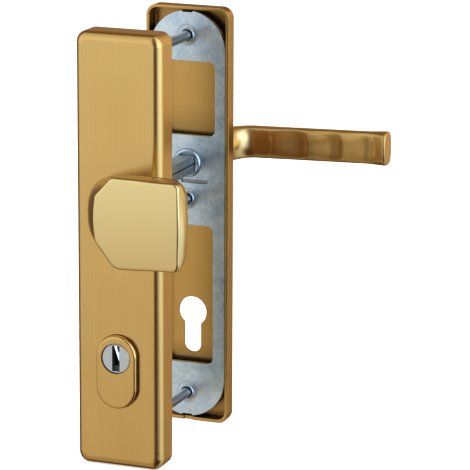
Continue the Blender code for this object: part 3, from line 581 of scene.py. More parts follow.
# %% [markdown]
# ## From outlines to solids
#
# `loft` skins a stack of rings and closes both ends. `piece` turns the result into an object
# that rides on the right body, takes the right finish and stands for its CAD node. Edges that
# a tool has broken are bevelled, and a weighted-normal pass keeps large faces truly flat
# beside their rounded edges.

# %% Make solids
def loft(rings, closed=False):
    bm = bmesh.new()
    rows = [[bm.verts.new(point) for point in ring] for ring in rings]
    pairs = list(zip(rows, rows[1:])) + ([(rows[-1], rows[0])] if closed else [])
    for a, b in pairs:
        count = max(len(a), len(b))
        for k in range(count):
            m = (k + 1) % count
            if len(a) == 1:
                bm.faces.new((a[0], b[m], b[k]))
            elif len(b) == 1:
                bm.faces.new((a[k], a[m], b[0]))
            else:
                bm.faces.new((a[k], a[m], b[m], b[k]))
    if not closed:
        for row in (rows[0], rows[-1]):
            if len(row) > 1:
                bm.faces.new(row)
    bmesh.ops.recalc_face_normals(bm, faces=bm.faces)
    return bm


def prism(outline, y0, y1, z=0.0, x=0.0):
    return loft([at(shifted(outline, x, z), y) for y in (y0, y1)])


def turned(profile, z, steps=64, closed=False):
    """A solid of revolution about a line along Y, from a profile of (radius, y)."""
    rings = [[(0, y, z)] if radius == 0 else at(shifted(circle(2 * radius, steps), 0, z), y)
             for radius, y in profile]
    return loft(rings, closed)


def to_object(name, bm):
    bmesh.ops.scale(bm, vec=(MM, MM, MM), verts=bm.verts)
    mesh = bpy.data.meshes.new(name)
    bm.to_mesh(mesh)
    bm.free()
    obj = bpy.data.objects.new(name, mesh)
    scene.collection.objects.link(obj)
    return obj


def bake_modifiers(obj):
    """Replace the object's mesh by what its modifiers make of it."""
    bpy.context.view_layer.update()
    made = obj.evaluated_get(bpy.context.evaluated_depsgraph_get())
    mesh = bpy.data.meshes.new_from_object(made)
    obj.modifiers.clear()
    obj.data = mesh


def carve(obj, *tools, operation="DIFFERENCE"):
    """Cut each tool's shape out of the object, or join it on."""
    for bm in tools:
        tool = to_object("tool", bm)
        cut = obj.modifiers.new("cut", "BOOLEAN")
        cut.operation = operation
        cut.solver = "EXACT"
        cut.object = tool
        bake_modifiers(obj)
        bpy.data.objects.remove(tool, do_unlink=True)
    return obj


def soften(obj, width):
    """Break the sharp edges, as a tool or a tumbling drum does."""
    bevel = obj.modifiers.new("broken_edges", "BEVEL")
    bevel.width = width * MM
    bevel.segments = 2
    bevel.limit_method = "ANGLE"
    bevel.angle_limit = radians(35)
    bevel.use_clamp_overlap = True
    bake_modifiers(obj)
    return obj


def piece(name, shape, node, material=None, smooth=32):
    """Finish a piece: smooth shading, a material, and its place in the frame."""
    obj = shape if isinstance(shape, bpy.types.Object) else to_object(name, shape)
    obj.name = name
    obj.data.shade_smooth()
    obj.data.set_sharp_from_angle(angle=radians(smooth))
    weigh = obj.modifiers.new("flat_faces_stay_flat", "WEIGHTED_NORMAL")
    weigh.keep_sharp = True
    bake_modifiers(obj)
    obj.data.materials.clear()
    obj.data.materials.append(material or FINISHES[SLOT_OF[node]])
    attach(obj, BODY_OF[node])
    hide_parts(node)
    return obj


print("helpers ready")

# %% [markdown]
# ## The two covers
#
# Each cover is a drawn tray: flat in front, a quarter-round edge, and a thin wall that ends
# in a rim. We stack rings from the rim over the edge to the front, then the same again on
# the inside, one wall thinner. The rim gets a small round on both sides, which catches light
# as a fine line.

# %% Draw a tray
def tray(box, mouth, front, wall, edge, corner, rim=0.45):
    """A tray with rounded front edges; its mouth is open."""
    way = 1 if front > mouth else -1
    fillet = max(edge - wall, 0.8)

    def ring(inset, y):
        radius = max(corner - 0.8 * inset, 0.5)
        return at(rectangle(box.size.x - 2 * inset, box.size.z - 2 * inset, radius, 10), y)

    def rim_round(inset, side):
        return [ring(inset + side * rim * (1 - s), mouth + way * rim * (1 - c))
                for s, c in quarter(3)[::side]]

    outside = rim_round(0.0, 1)
    outside += [ring(edge * (1 - c), front - way * edge * (1 - s)) for s, c in quarter(12)]
    inside = [ring(wall + fillet * (1 - c), front - way * (wall + fillet * (1 - s)))
              for s, c in quarter(6)[::-1]]
    return loft(inside + rim_round(wall, -1) + outside)


OUTER_WALL, OUTER_EDGE, INNER_WALL, INNER_EDGE, CORNER = 2.2, 5.0, 2.0, 3.0, 6.5
GAP, JOINT = 0.3, 0.42
cover_box = Box("cylinder_cover")
dowel = Box("knob_dowel")
COVER_W, COVER_H = cover_box.size.x - 3.2, cover_box.size.z - 3.2
COVER_Z = cover_box.middle.z

outer_cover = to_object("outer_cover_shell", tray(outer, outer.high.y, outer.low.y, OUTER_WALL,
                                                  OUTER_EDGE, CORNER))
past, inside_face = outer.low.y - 1, outer.low.y + OUTER_WALL + 1
NECK_BORE, DOWEL_BORE = 8.6, 4.6
carve(outer_cover,
      prism(oval(COVER_W + 2 * JOINT, COVER_H + 2 * JOINT), past, inside_face, COVER_Z),
      prism(circle(NECK_BORE), past, inside_face, SPINDLE_Z),
      prism(circle(DOWEL_BORE, 32), past, inside_face, dowel.middle.z))
piece("outer_cover_shell", outer_cover, "outer_cover")

BUSH_BORE, RIM_NOTCH_WIDTH, RIM_NOTCH_HEIGHT, RIM_NOTCH_DEPTH = 25.3, 5.5, 8.0, 1.3
inner_cover = to_object("inner_cover_shell", tray(inner, inner.low.y, inner.high.y, INNER_WALL,
                                                  INNER_EDGE, CORNER))
before, behind = inner.high.y - INNER_WALL - 2, inner.high.y + 1
carve(inner_cover,
      prism(circle(BUSH_BORE), before, behind, SPINDLE_Z),
      prism(euro_profile(), before, behind, CYLINDER_Z),
      prism(rectangle(RIM_NOTCH_WIDTH, RIM_NOTCH_HEIGHT, 0.6, 3), inner.low.y - 1,
            inner.low.y + RIM_NOTCH_DEPTH, inner.low.z, 0.5))
piece("inner_cover_shell", inner_cover, "inner_cover", INNER_SATIN_PAINTED_DARKER)
print("covers", len(outer_cover.data.polygons), len(inner_cover.data.polygons))

# %% [markdown]
# ## The mounting plate
#
# This is stamped from zinc-plated sheet: half-round ends, two windows that save weight and
# clear the lock, and a groove that a tab hooks into. Each window is given by its width, its
# height and how far its middle is above the spindle. The stamp leaves rounded edges on its
# entry side, so the whole outline gets a fine bevel, and that is what shows as pale lines
# along the windows.

# %% Stamp the mounting plate
WINDOWS = ((35.0, 44.2, 38.7), (32.8, 84.4, -79.4))
WINDOW_CORNER, SPINDLE_BORE, BOLT_BORE = 4.0, 17.3, 12.6
GROOVE_WIDTH, GROOVE_HEIGHT, GROOVE_DEPTH, GROOVE_X, GROOVE_DROP = 17.0, 2.2, 1.3, 4.5, 10.8
NOTCH_WIDTH, NOTCH_HEIGHT = 6.5, 2.0
front, back = mount.low.y - 1, mount.high.y + 1
plate = to_object("mounting_plate_stamping",
                  prism(oval(mount.size.x, mount.size.z, 32), mount.low.y, mount.high.y))
cuts = [prism(rectangle(width, height, WINDOW_CORNER), front, back, SPINDLE_Z + rise)
        for width, height, rise in WINDOWS]
cuts += [prism(circle(SPINDLE_BORE), front, back, SPINDLE_Z),
         prism(rectangle(GROOVE_WIDTH, GROOVE_HEIGHT, 1.05, 6), front,
               mount.low.y + GROOVE_DEPTH, SPINDLE_Z - GROOVE_DROP, GROOVE_X)]
cuts += [prism(rectangle(NOTCH_WIDTH, NOTCH_HEIGHT, 0.4, 3), front, back, side * mount.high.z)
         for side in (1, -1)]
cuts += [prism(circle(BOLT_BORE), front, back, z) for z in BOLT_PLACES.values()]
carve(plate, *cuts)
soften(plate, 0.35)
piece("mounting_plate_stamping", plate, "mounting_plate")
# Painted shade: the groove's floor takes the darker copy of the zinc.
plate.data.materials.append(ZINC_PAINTED_SHADE)
for face in plate.data.polygons:
    spot = face.center / MM
    level = abs(spot.z - SPINDLE_Z + GROOVE_DROP) < GROOVE_HEIGHT / 2 + 0.3
    beside = abs(spot.x - GROOVE_X) < GROOVE_WIDTH / 2 + 0.5
    if level and beside and 0.1 < spot.y - mount.low.y < GROOVE_DEPTH + 0.1:
        face.material_index = 1
print("mounting plate", len(plate.data.polygons), "faces")

# %% [markdown]
# ## Bolts and their collars
#
# The bolts pass from the inner plate to threaded sleeves in the outer one. Near the inner
# plate each runs through a collar: a short tube on a gently dished foot. The shank is smooth
# in the middle and threaded at its end; the head has a hexagon socket.

# %% Turn the bolts, collars and sleeves
def thread(z, start, end, radius, pitch, depth, steps=36):
    """Rings of a screw thread along Y; the groove winds round as it goes."""
    rings = []
    count = int((end - start) / pitch * 8)
    for n in range(count + 1):
        y = start + (end - start) * n / count
        ring = []
        for k in range(steps):
            angle = 2 * pi * k / steps
            phase = (y / pitch - k / steps) % 1.0
            r = radius - depth * (0.5 + 0.5 * cos(2 * pi * phase))
            ring.append((r * cos(angle), y, z + r * sin(angle)))
        rings.append(ring)
    return rings


def plain_ring(y, z, radius, steps=36):
    return [(radius * cos(2 * pi * k / steps), y, z + radius * sin(2 * pi * k / steps))
            for k in range(steps)]


SHANK, HEAD_HEIGHT, THREAD_END, THREAD_PITCH, THREAD_DEPTH = 3.0, 2.8, 22, 1.0, 0.3
SOCKET_WIDTH, SOCKET_DEPTH = 5.0, 1.7
FOOT, STEP, COLLAR_BORE, COLLAR_LIP = 6.25, 4.3, 3.6, 1.0
SLEEVE_BARREL, SLEEVE_BORE, SLEEVE_HEAD, SLEEVE_DEPTH = 5.0, 3.3, 2.4, 14

for place, z in BOLT_PLACES.items():
    bolt = Box("through_bolt_" + place)
    collar = Box("bolt_collar_" + place)
    sleeve = Box("threaded_sleeve_" + place)
    head, seat, threaded = bolt.size.x / 2, bolt.high.y - HEAD_HEIGHT, bolt.low.y + THREAD_END
    rings = [[(0, bolt.low.y, z)], plain_ring(bolt.low.y, z, 2.1)]
    rings += thread(z, bolt.low.y + 0.8, threaded, SHANK, THREAD_PITCH, THREAD_DEPTH)
    rings += [plain_ring(y, z, radius) for y, radius in (
        (threaded + 0.8, SHANK), (seat, SHANK), (seat, head - 0.3), (seat + 0.3, head),
        (bolt.high.y - 0.8, head), (bolt.high.y, head - 0.8))]
    rings.append([(0, bolt.high.y, z)])
    body = to_object("through_bolt", loft(rings))
    carve(body, prism(circle(SOCKET_WIDTH, 6), bolt.high.y - SOCKET_DEPTH, bolt.high.y + 1, z))
    piece("bolt_" + place, body, "through_bolt_" + place)

    flange, face, rear = collar.size.x / 2, mount.low.y, mount.high.y + GAP
    end = face - COLLAR_LIP
    profile = [(COLLAR_BORE, end + 0.2), (COLLAR_BORE + 0.1, end), (STEP - 0.25, end),
               (STEP, end + 0.25), (STEP + 0.15, face - 0.25), (STEP + 0.5, face - 0.12),
               (FOOT - 0.3, face - 0.02), (FOOT, face), (FOOT, rear), (flange, rear),
               (flange, collar.high.y), (COLLAR_BORE, collar.high.y)]
    # painted shade: the collars take a darker copy of the zinc
    piece("collar_" + place, turned(profile, z, closed=True), "bolt_collar_" + place,
          COLLAR_ZINC_PAINTED_DARKER)

    flange, mouth = sleeve.size.x / 2, sleeve.high.y
    top = sleeve.low.y + SLEEVE_HEAD
    profile = [(0, sleeve.low.y), (flange - 0.4, sleeve.low.y), (flange, sleeve.low.y + 0.4),
               (flange, top - 0.3), (flange - 0.3, top), (SLEEVE_BARREL, top),
               (SLEEVE_BARREL, mouth - 0.5), (SLEEVE_BARREL - 0.5, mouth),
               (SLEEVE_BORE + 0.4, mouth), (SLEEVE_BORE, mouth - 0.4),
               (SLEEVE_BORE, mouth - SLEEVE_DEPTH), (0, mouth - SLEEVE_DEPTH)]
    piece("sleeve_" + place, turned(profile, z), "threaded_sleeve_" + place)
print("bolts, collars and sleeves", 3 * len(BOLT_PLACES))

# %% [markdown]
# ## The steel plate behind the outer cover
#
# Nobody sees it on a door, but from the door side it is the face that meets the wood. Its
# holes are those of the frame: sleeves, the countersunk knob screw with its dowel, and the
# cylinder's keyhole shape.

# %% Cut the reinforcement plate
backing = to_object("reinforcement_steel",
                    prism(rectangle(steel.size.x, steel.size.z, CORNER - OUTER_WALL), steel.low.y,
                          steel.high.y))
cone = [(0, -6.0), (4.3, -6.0), (4.3, -2.7), (7.0, 0.0), (7.0, 1.0), (0, 1.0)]
front = steel.low.y - 1
SLEEVE_HOLE = 10.6
cuts = [prism(circle(SLEEVE_HOLE), front, 1, z) for z in BOLT_PLACES.values()]
cuts += [prism(euro_profile(GAP), front, 1, CYLINDER_Z), turned(cone, SPINDLE_Z),
         prism(circle(DOWEL_BORE, 32), front, 1, dowel.middle.z)]
carve(backing, *cuts)
soften(backing, 0.3)
piece("reinforcement_steel", backing, "reinforcement_plate")
print("reinforcement plate", len(backing.data.polygons), "faces")

# %% [markdown]
# ## The knob
#
# A fixed knob is set off to one side, so that knuckles clear the door frame. Its grip has two
# cut corners, bowed edges, barrelled sides and a faintly crowned face; the neck leaves the
# plate as a squarish oval, leans over and flares into the grip's back. All of it is one
# skin: rings keep the same number of points, measured by angle round their own centres, so
# an oval can turn into the grip's outline without a seam.

# %% Shape the knob
knob_box = Box("knob")
KNOB_LEFT, KNOB_RIGHT, KNOB_HEIGHT, KNOB_THICK = 5.6, knob_box.high.x, 51.0, 13.5
KNOB_HIGH = knob_box.high.z
KNOB_LOW = KNOB_HIGH - KNOB_HEIGHT
KNOB_FRONT, KNOB_SEAT = knob_box.low.y, knob_box.high.y
KNOB_BACK = KNOB_FRONT + KNOB_THICK
KNOB_MIDDLE = (KNOB_LOW + KNOB_HIGH) / 2
BOW, LOW_CUT, HIGH_CUT = 1.6, (13.3, 14.6), (11.4, 10.8)


def knob_outline(round_right):
    """The grip from the front; its right corners are rounder at the back."""
    left, right_side = KNOB_LEFT, KNOB_RIGHT
    low_corner, high_corner = KNOB_LOW + LOW_CUT[1], KNOB_HIGH - HIGH_CUT[1]
    return rounded([
        (left, (low_corner + high_corner) / 2, 60.0), (left + BOW, low_corner, 6.0),
        (left + LOW_CUT[0], KNOB_LOW, 7.0), (right_side - BOW, KNOB_LOW + 1.0, round_right),
        (right_side, KNOB_MIDDLE, 120.0), (right_side - BOW, KNOB_HIGH, round_right),
        (left + HIGH_CUT[0], KNOB_HIGH, 4.0), (left + BOW, high_corner, 3.0)], 16)


def reach(outline, centre, angle):
    """How far the outline is from the centre in a direction."""
    way = Vector((cos(angle), sin(angle)))
    best = 0.0
    for k, (x, z) in enumerate(outline):
        a = Vector((x, z)) - centre
        b = Vector(outline[(k + 1) % len(outline)]) - centre
        edge_way = b - a
        cross = way.x * edge_way.y - way.y * edge_way.x
        if abs(cross) < 1e-9:
            continue
        far = (a.x * edge_way.y - a.y * edge_way.x) / cross
        part = (a.x * way.y - a.y * way.x) / cross
        if far > 0 and -1e-6 <= part <= 1 + 1e-6:
            best = max(best, far)
    return best


KNOB_STEPS = 168
grip_centre = Vector(((KNOB_LEFT + KNOB_RIGHT) / 2, KNOB_MIDDLE))
angles = [2 * pi * k / KNOB_STEPS for k in range(KNOB_STEPS)]
grip_front = [reach(knob_outline(3.4), grip_centre, angle) for angle in angles]
grip_back = [reach(knob_outline(9.0), grip_centre, angle) for angle in angles]


def smooth_step(t):
    t = min(max(t, 0.0), 1.0)
    return t * t * (3 - 2 * t)


NECK_POWER, NECK_HALF_WIDTH, NECK_HALF_HEIGHT = 2.5, 17.4, 21.0
NECK_LEAN, NECK_DROP, NECK_RISE = 21.5, 9.0, 5.5
FRONT_ROUND, BACK_ROUND, BARREL, CROWN = 1.6, 2.6, 1.1, 0.6
BACK_EDGE, FRONT_EDGE = KNOB_BACK - BACK_ROUND, KNOB_FRONT + CROWN + FRONT_ROUND


def neck_ring(part):
    """Centre and reach of the neck: 0 at the plate, 1 where it meets the grip."""
    wide = NECK_HALF_WIDTH * (1 - 0.13 * smooth_step(part * 1.6) - 0.02 * part)
    high = NECK_HALF_HEIGHT * (1 - 0.07 * smooth_step(part))
    centre = Vector((NECK_LEAN * part ** 1.5, SPINDLE_Z - NECK_DROP + NECK_RISE * part))
    radii = [((abs(cos(a)) / wide) ** NECK_POWER + (abs(sin(a)) / high) ** NECK_POWER)
             ** (-1 / NECK_POWER) for a in angles]
    return centre, radii


def knob_ring(y, flare, inset=0.0, barrel=0.0, scale=1.0, crown=0.0):
    """A ring at depth y, between the neck (flare 0) and the grip's outline (flare 1).

    barrel draws in the right-hand side, and crown sets points back by their distance from
    the middle of the face.
    """
    part = min((KNOB_SEAT - y) / (KNOB_SEAT - KNOB_BACK), 1.0)
    centre, radii = neck_ring(part)
    centre = centre.lerp(grip_centre, flare)
    forward = smooth_step((BACK_EDGE - y) / (BACK_EDGE - FRONT_EDGE))
    ring = []
    for angle, thin, back, front in zip(angles, radii, grip_back, grip_front):
        full = back + (front - back) * forward - inset - barrel * max(0.0, cos(angle))
        r = (thin + (full - thin) * flare) * scale
        set_back = CROWN * crown * ((r / 28.0) ** 2 - 1)
        ring.append((centre.x + r * cos(angle), y + set_back, centre.y + r * sin(angle)))
    return ring


NECK_RINGS, FLARE_START, FLARE_SHARE, SIDE_RINGS = 22, 0.72, 0.94, 12
NECK_LENGTH = KNOB_SEAT - KNOB_BACK
rings = [knob_ring(KNOB_SEAT - NECK_LENGTH * FLARE_START * k / NECK_RINGS, 0.0)
         for k in range(NECK_RINGS + 1)]
rings += [knob_ring(KNOB_SEAT - NECK_LENGTH * (FLARE_START + (1 - FLARE_START) * s),
                    (1 - c) * FLARE_SHARE) for s, c in quarter(14, 1)]
rings += [knob_ring(KNOB_BACK - BACK_ROUND * (1 - c), 1.0, BACK_ROUND * (1 - s), BARREL)
          for s, c in quarter(6)]
for k in range(1, SIDE_RINGS):
    part = k / SIDE_RINGS
    rings.append(knob_ring(BACK_EDGE + (FRONT_EDGE - BACK_EDGE) * part, 1.0, 0.0,
                           BARREL * (1 - sin(pi * part))))
rings += [knob_ring(FRONT_EDGE - FRONT_ROUND * s, 1.0, FRONT_ROUND * (1 - c), BARREL, crown=s)
          for s, c in quarter(8)]
for scale in (0.94, 0.85, 0.74, 0.6, 0.45, 0.3, 0.15):
    rings.append(knob_ring(KNOB_FRONT + CROWN, 1.0, FRONT_ROUND, BARREL, scale, 1.0))
rings.append([(grip_centre.x, KNOB_FRONT, grip_centre.y)])
knob = to_object("knob_grip", loft(rings))
carve(knob, prism(circle(NECK_BORE, 32), KNOB_SEAT - 18, KNOB_SEAT + 2, SPINDLE_Z),
      prism(circle(DOWEL_BORE, 32), KNOB_SEAT - 6, KNOB_SEAT + 2, dowel.middle.z))
piece("knob_grip", knob, "knob", KNOB_SATIN_PAINTED_LIGHTER, 40)
print("knob", len(knob.data.polygons), "faces")

# %% [markdown]
# ## The cylinder cover
#
# A solid oval housing stands proud of the outer plate. Its front edge has a generous round,
# and a hair-wide joint runs round it where it comes through the cover. Inside is the pocket
# in which the sprung carrier slides.

# %% Form the cylinder cover
COVER_ROUND = 1.5
cover_front, cover_back = cover_box.low.y, cover_box.high.y


def cover_ring(inset, y):
    return at(shifted(oval(COVER_W - 2 * inset, COVER_H - 2 * inset), 0, COVER_Z), y)


rings = [cover_ring(COVER_ROUND * (1 - s), cover_front + COVER_ROUND * (1 - c))
         for s, c in quarter(8)]
shoulder = outer.low.y + OUTER_WALL + GAP
rings += [cover_ring(0, shoulder), cover_ring(-1.6, shoulder), cover_ring(-1.6, shoulder + 2.0),
          cover_ring(0, shoulder + 2.0), cover_ring(0, cover_back)]
housing = to_object("cylinder_cover_housing", loft(rings))
pocket_front = cover_front + 3.2
carve(housing,
      prism(oval(COVER_W - 3.0, COVER_H - 3.0), pocket_front, cover_back + 1, COVER_Z),
      prism(circle(disc_box.size.x + 0.9), cover_front - 1, pocket_front + 1, CYLINDER_Z))
piece("cylinder_cover_housing", housing, "cylinder_cover")
print("cylinder cover", len(housing.data.polygons), "faces")

# %% [markdown]
# ## The key disc
#
# The disc turns with the key. Its slot has one curved, polished flank that guides the key
# in, so the upper half of the slot shines. A thin web closes the slot's end, and it and the
# slot's walls are painted black as shade, so the lower half is dark.

# %% Turn the disc and cut its slot
disc_front, disc_end = disc_box.low.y, disc_box.high.y
disc_back = disc_front + 2.5
wide, hub, slim = disc_box.size.x / 2, 6.0, 5.0
SLOT_WIDTH, SLOT_HEIGHT, KEY_WAY_HEIGHT, WEB = 4.6, 15.0, 9.0, 0.6
groove = Box("disc_circlip").low.y - 0.125
profile = [(0, disc_front), (wide - 0.35, disc_front), (wide, disc_front + 0.35), (wide, disc_back),
           (hub, disc_back), (hub, groove), (slim, groove), (slim, groove + 1.25),
           (hub, groove + 1.25), (hub, disc_end), (0, disc_end)]
disc = to_object("key_disc_turned", turned(profile, CYLINDER_Z, 96))
carve(disc,
      prism(rectangle(SLOT_WIDTH, SLOT_HEIGHT, 0.5, 4), disc_front - 1, disc_back - WEB, CYLINDER_Z),
      prism(rectangle(SLOT_WIDTH, KEY_WAY_HEIGHT, 0.5, 4), disc_front - 1, disc_end - WEB,
            CYLINDER_Z))
soften(disc, 0.12)
piece("key_disc_turned", disc, "key_disc")
# Painted shade: the slot's walls and the web at its end take the black plastic finish.
disc.data.materials.append(BLACK_PLASTIC_AND_SLOT_SHADE)
for face in disc.data.polygons:
    spot = face.center / MM
    beside = abs(spot.x) < SLOT_WIDTH / 2 + 0.1
    level = abs(spot.z - CYLINDER_Z) < SLOT_HEIGHT / 2 + 0.1
    if beside and level and spot.y > disc_front + 0.2 and face.normal.z < 0.7:
        face.material_index = 1


GUIDE_TOP, GUIDE_LENGTH, GUIDE_DEPTH, GUIDE_STEPS = 7.1, 8.1, 5.6, 12


def guide_section(z):
    """The key guide at height z above the disc's middle: a flank that turns to the right."""
    part = (7.0 - z) / 8.0
    left, right_side = -1.0 + 2.8 * part, 2.25
    upper, y = [], disc_front + 0.3
    steps = 10
    for k in range(steps + 1):
        x = left + (right_side - left) * k / steps
        upper.append((x, y, CYLINDER_Z + z))
        y += tan(radians(min(36 + 9 * (x - left), 58))) * (right_side - left) / steps
    floor_y = disc_front + GUIDE_DEPTH
    return [(px, min(py, floor_y - 0.1), pz) for px, py, pz in upper] + [
        (right_side, floor_y, CYLINDER_Z + z), (left, floor_y, CYLINDER_Z + z)]


guide = loft([guide_section(GUIDE_TOP - GUIDE_LENGTH * k / GUIDE_STEPS)
              for k in range(GUIDE_STEPS + 1)])
piece("key_guide", guide, "key_disc", POLISHED_STEEL)
print("key disc", len(disc.data.polygons), "faces")

# %% [markdown]
# ## Springs
#
# Coil springs are drawn as what they are: one length of wire along a helix, with closed ends
# that lie flat. The carrier's two springs and the lever's return spring share the function.
# The carrier's springs shorten as the carrier is pushed in.

# %% Coil the springs
def coil(name, node, axis_point, start, end, radius, wire, turns, legs=0.0):
    """A helix about a line along Y; legs adds straight tails that point down."""
    x0, z0 = axis_point
    points = []
    steps = 28
    count = int(turns * steps)
    if legs:
        points.append((x0, start, z0 - legs))
    for k in range(count + 1):
        part = k / count
        angle = -pi / 2 + 2 * pi * turns * part
        y = start + (end - start) * (part if legs else smooth_step(part) * 0.5 + part * 0.5)
        points.append((x0 + radius * cos(angle), y, z0 + radius * sin(angle)))
    if legs:
        points.append((x0, end, z0 - legs))
    curve = bpy.data.curves.new(name, "CURVE")
    curve.dimensions = "3D"
    curve.bevel_depth = wire / 2 * MM
    curve.bevel_resolution = 3
    curve.use_fill_caps = True
    spline = curve.splines.new("POLY")
    spline.points.add(len(points) - 1)
    for spot_on, point in zip(spline.points, points):
        spot_on.co = (*(Vector(point) * MM), 1.0)
    curve.materials.append(FINISHES[SLOT_OF[node]])
    drawn = bpy.data.objects.new(name + "_path", curve)
    mesh = bpy.data.meshes.new_from_object(drawn)
    bpy.data.objects.remove(drawn, do_unlink=True)
    mesh.shade_smooth()
    obj = bpy.data.objects.new(name, mesh)
    scene.collection.objects.link(obj)
    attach(obj, BODY_OF[node])
    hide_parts(node)
    return obj


CARRIER_TRAVEL, SPRING_DROP = 3.0, 15.0
for side in ("left", "right"):
    box = Box("carrier_spring_" + side)
    spring = coil("carrier_coil_" + side, "carrier_spring_" + side,
                  (box.middle.x, CYLINDER_Z - SPRING_DROP), box.low.y + 0.35,
                  box.high.y - 0.35, radius=1.65, wire=0.7, turns=5.0)
    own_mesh(spring)
box = Box("return_spring")
coil("return_coil", "return_spring", (0.0, SPINDLE_Z), box.low.y + 0.55, box.high.y - 0.55,
     radius=9.65, wire=1.1, turns=2.0, legs=11.9)
print("springs coiled")

# %% [markdown]
# ## The spindle
#
# A ten-millimetre square bar, sawn lengthwise so that a set screw in the lever can spread the
# halves and take up all play. The saw cut is the thin dark line along its side. The corners
# are drawn round, and the outer end is chamfered.

# %% Saw the spindle
spread, SPREADER_BORE = Box("spindle_spreader"), 5.2
for side in ("upper", "lower"):
    bar_box = Box("spindle_half_" + side)
    bar = to_object("spindle_bar_" + side,
                    prism(rectangle(bar_box.size.x, bar_box.size.z, 0.3, 2), bar_box.low.y,
                          bar_box.high.y, bar_box.middle.z))
    carve(bar, prism(circle(SPREADER_BORE, 40), spread.low.y - GAP, spread.high.y + 1,
                     SPINDLE_Z))
    soften(bar, 0.25)
    # The spindle bars take the darker copy of the zinc: painted shade.
    piece("spindle_bar_" + side, bar, "spindle_half_" + side, ZINC_PAINTED_SHADE)
driver = Box("spindle_driver")
DRIVER_RING, DRIVER_WIDE, COLLAR_DEPTH, SQUARE_HOLE = 8.5, 10.5, 1.4, 10.6
rear = mount.high.y + GAP
edge_in, edge = DRIVER_RING - 1.3, driver.low.y
profile = [(0, edge + 0.45), (edge_in - 0.9, edge + 0.4), (edge_in - 0.3, edge + 0.2),
           (edge_in, edge), (DRIVER_RING - 0.9, edge + 0.05), (DRIVER_RING - 0.45, edge + 0.25),
           (DRIVER_RING - 0.12, edge + 0.7), (DRIVER_RING, edge + 1.3), (DRIVER_RING, rear),
           (DRIVER_WIDE, rear), (DRIVER_WIDE, rear + COLLAR_DEPTH),
           (DRIVER_RING, rear + COLLAR_DEPTH), (DRIVER_RING, driver.high.y), (0, driver.high.y)]
driver_ring = to_object("spindle_driver_ring", turned(profile, SPINDLE_Z, 80))
carve(driver_ring, prism(rectangle(4.0, 4.5, 0.4, 2), rear, rear + COLLAR_DEPTH,
                         SPINDLE_Z - DRIVER_WIDE - 0.25), operation="UNION")
carve(driver_ring, prism(rectangle(SQUARE_HOLE, SQUARE_HOLE, 0.3, 2), driver.low.y - 1,
                         driver.high.y + 1, SPINDLE_Z))
piece("spindle_driver_ring", driver_ring, "spindle_driver")
print("spindle and driver made")

# %% [markdown]
# ## The lever
#
# The lever is one casting: a round neck, a quarter bend, and a grip whose door side is dished
# for the fingers. Each dish ends in a crisp curved step on the side of the tip, and the tip
# itself turns towards the door as a lip. We walk along the lever's centre line and set down
# one section after another; `dish` says how deep the door side is cut at each point.

# %% Shape the lever
lever_box = Box("lever_handle")
NECK, GRIP_Y, BEND = 21.0, 150.0, 20.0
LIP_TURN, LIP_FROM_TIP, LIP_RUN, GRUB_BORE = 2.4, 8.0, 6.0, 5.6
GRIP_HEIGHT, GRIP_THICK = 19.5, 11.0
RISE, FIRST_RISE = 0.031, 1.6
TIP = lever_box.high.x
FINGER_ENDS = (30.5, 53.0, 75.5, 95.5)
FINGER_PITCH, FINGER_DEPTH, FINGER_ARC = 22.5, 1.3, 3.4


def dish(x, v):
    """Depth of the finger places at length x; v runs from -1 below to 1 above."""
    deepest = 0.0
    for end in FINGER_ENDS:
        edge_x = end - FINGER_ARC * v * v
        start = max(edge_x - FINGER_PITCH, BEND)
        length = edge_x - start
        part = (x - start) / length
        if 0 < part < 1:
            depth = FINGER_DEPTH * (length / FINGER_PITCH) ** 1.5
            deepest = max(deepest, depth * sin(pi * part ** 1.7))
    return deepest * max(0.0, 1 - v * v) ** 0.5


def lip(x):
    """How far the tip turns towards the door."""
    return LIP_TURN * min(max((x - (TIP - LIP_FROM_TIP)) / LIP_RUN, 0.0), 1.0)


def lever_section(centre, across, height, thick, full, x=None, steps=72):
    ring = []
    for k in range(steps):
        angle = 2 * pi * k / steps
        c, s = cos(angle), sin(angle)
        u = abs(c) ** full * (1 if c >= 0 else -1)
        v = abs(s) ** full * (1 if s >= 0 else -1)
        out = u * thick / 2
        if x is not None and u > 0:
            out += (lip(x) - dish(x, v)) * u
        point = Vector(centre) + Vector(across) * out
        ring.append((point.x, point.y, point.z + v * height / 2))
    return ring


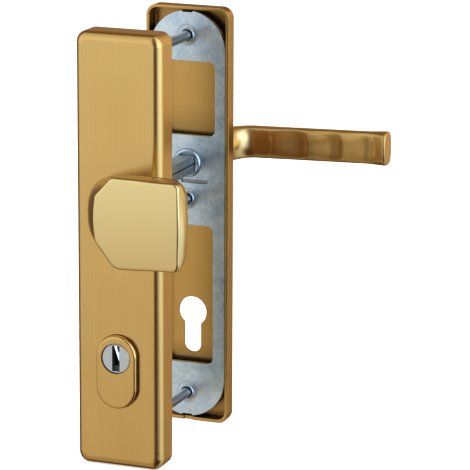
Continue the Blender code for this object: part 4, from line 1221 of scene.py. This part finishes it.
rings = []
for y in (lever_box.low.y, lever_box.low.y + 0.6, inner.high.y + 10, GRIP_Y - BEND - 10,
          GRIP_Y - BEND):
    shrink = 0.6 if y == lever_box.low.y else 0.0
    rings.append(lever_section((0, y, SPINDLE_Z), (1, 0, 0), NECK - shrink, NECK - shrink, 1.0))
BEND_STEPS = 18
for k in range(1, BEND_STEPS + 1):
    part = k / BEND_STEPS
    angle = pi / 2 * part
    ease = smooth_step(part)
    rings.append(lever_section(
        (BEND * (1 - cos(angle)), GRIP_Y - BEND + BEND * sin(angle),
         SPINDLE_Z + FIRST_RISE * ease), (cos(angle), -sin(angle), 0),
        NECK + (GRIP_HEIGHT - NECK) * ease, NECK + (GRIP_THICK - NECK) * ease,
        1.0 - 0.28 * ease))
GRIP_STEPS, TIP_ROUND, TIP_FLARE, GRIP_SQUARE = 150, 1.4, 0.05, 0.72


def grip_section(x, height, thick):
    """A section of the grip at length x; the grip rises a little towards its tip."""
    z = SPINDLE_Z + FIRST_RISE + RISE * (x - BEND)
    return lever_section((x, GRIP_Y, z), (0, -1, 0), height, thick, GRIP_SQUARE, x)


for k in range(1, GRIP_STEPS + 1):
    x = BEND + (TIP - TIP_ROUND - BEND) * k / GRIP_STEPS
    flare = 1.0 + TIP_FLARE * smooth_step((x - (TIP - 14)) / 12)
    rings.append(grip_section(x, GRIP_HEIGHT * flare, GRIP_THICK))
for s, c in quarter(6, 1):
    inset = TIP_ROUND * (1 - c)
    rings.append(grip_section(TIP - TIP_ROUND + TIP_ROUND * s,
                              GRIP_HEIGHT * (1.0 + TIP_FLARE) - 1.6 * inset,
                              GRIP_THICK - 1.2 * inset))
lever = to_object("lever_casting", loft(rings))
carve(lever, prism(rectangle(SQUARE_HOLE, SQUARE_HOLE, 0.3, 2), lever_box.low.y - 1,
                   inner.high.y + 40.0, SPINDLE_Z))
grub = Box("lever_grub_screw")
grub_hole = [[(x, grub.middle.y + y, z) for x, y in circle(GRUB_BORE, 32)]
             for z in (SPINDLE_Z - NECK / 2 - 1, SPINDLE_Z - 4)]
carve(lever, loft(grub_hole))
piece("lever_casting", lever, "lever_handle", smooth=50)
print("lever", len(lever.data.polygons), "faces")

# %% [markdown]
# ## The small parts that keep their CAD shape
#
# What is left is simple turned or stamped stuff inside the covers: its shape is right as it
# is, so only its finish changes. The CAD meshes stay as they are; we fill their material
# slots.

# %% Finish what is carried over
kept = []
for name, obj in frame["nodes"].items():
    if obj.hide_render:
        continue
    obj.data.materials.clear()
    obj.data.materials.append(FINISHES[SLOT_OF[name]])
    kept.append(name)
print("kept CAD shapes", sorted(kept))
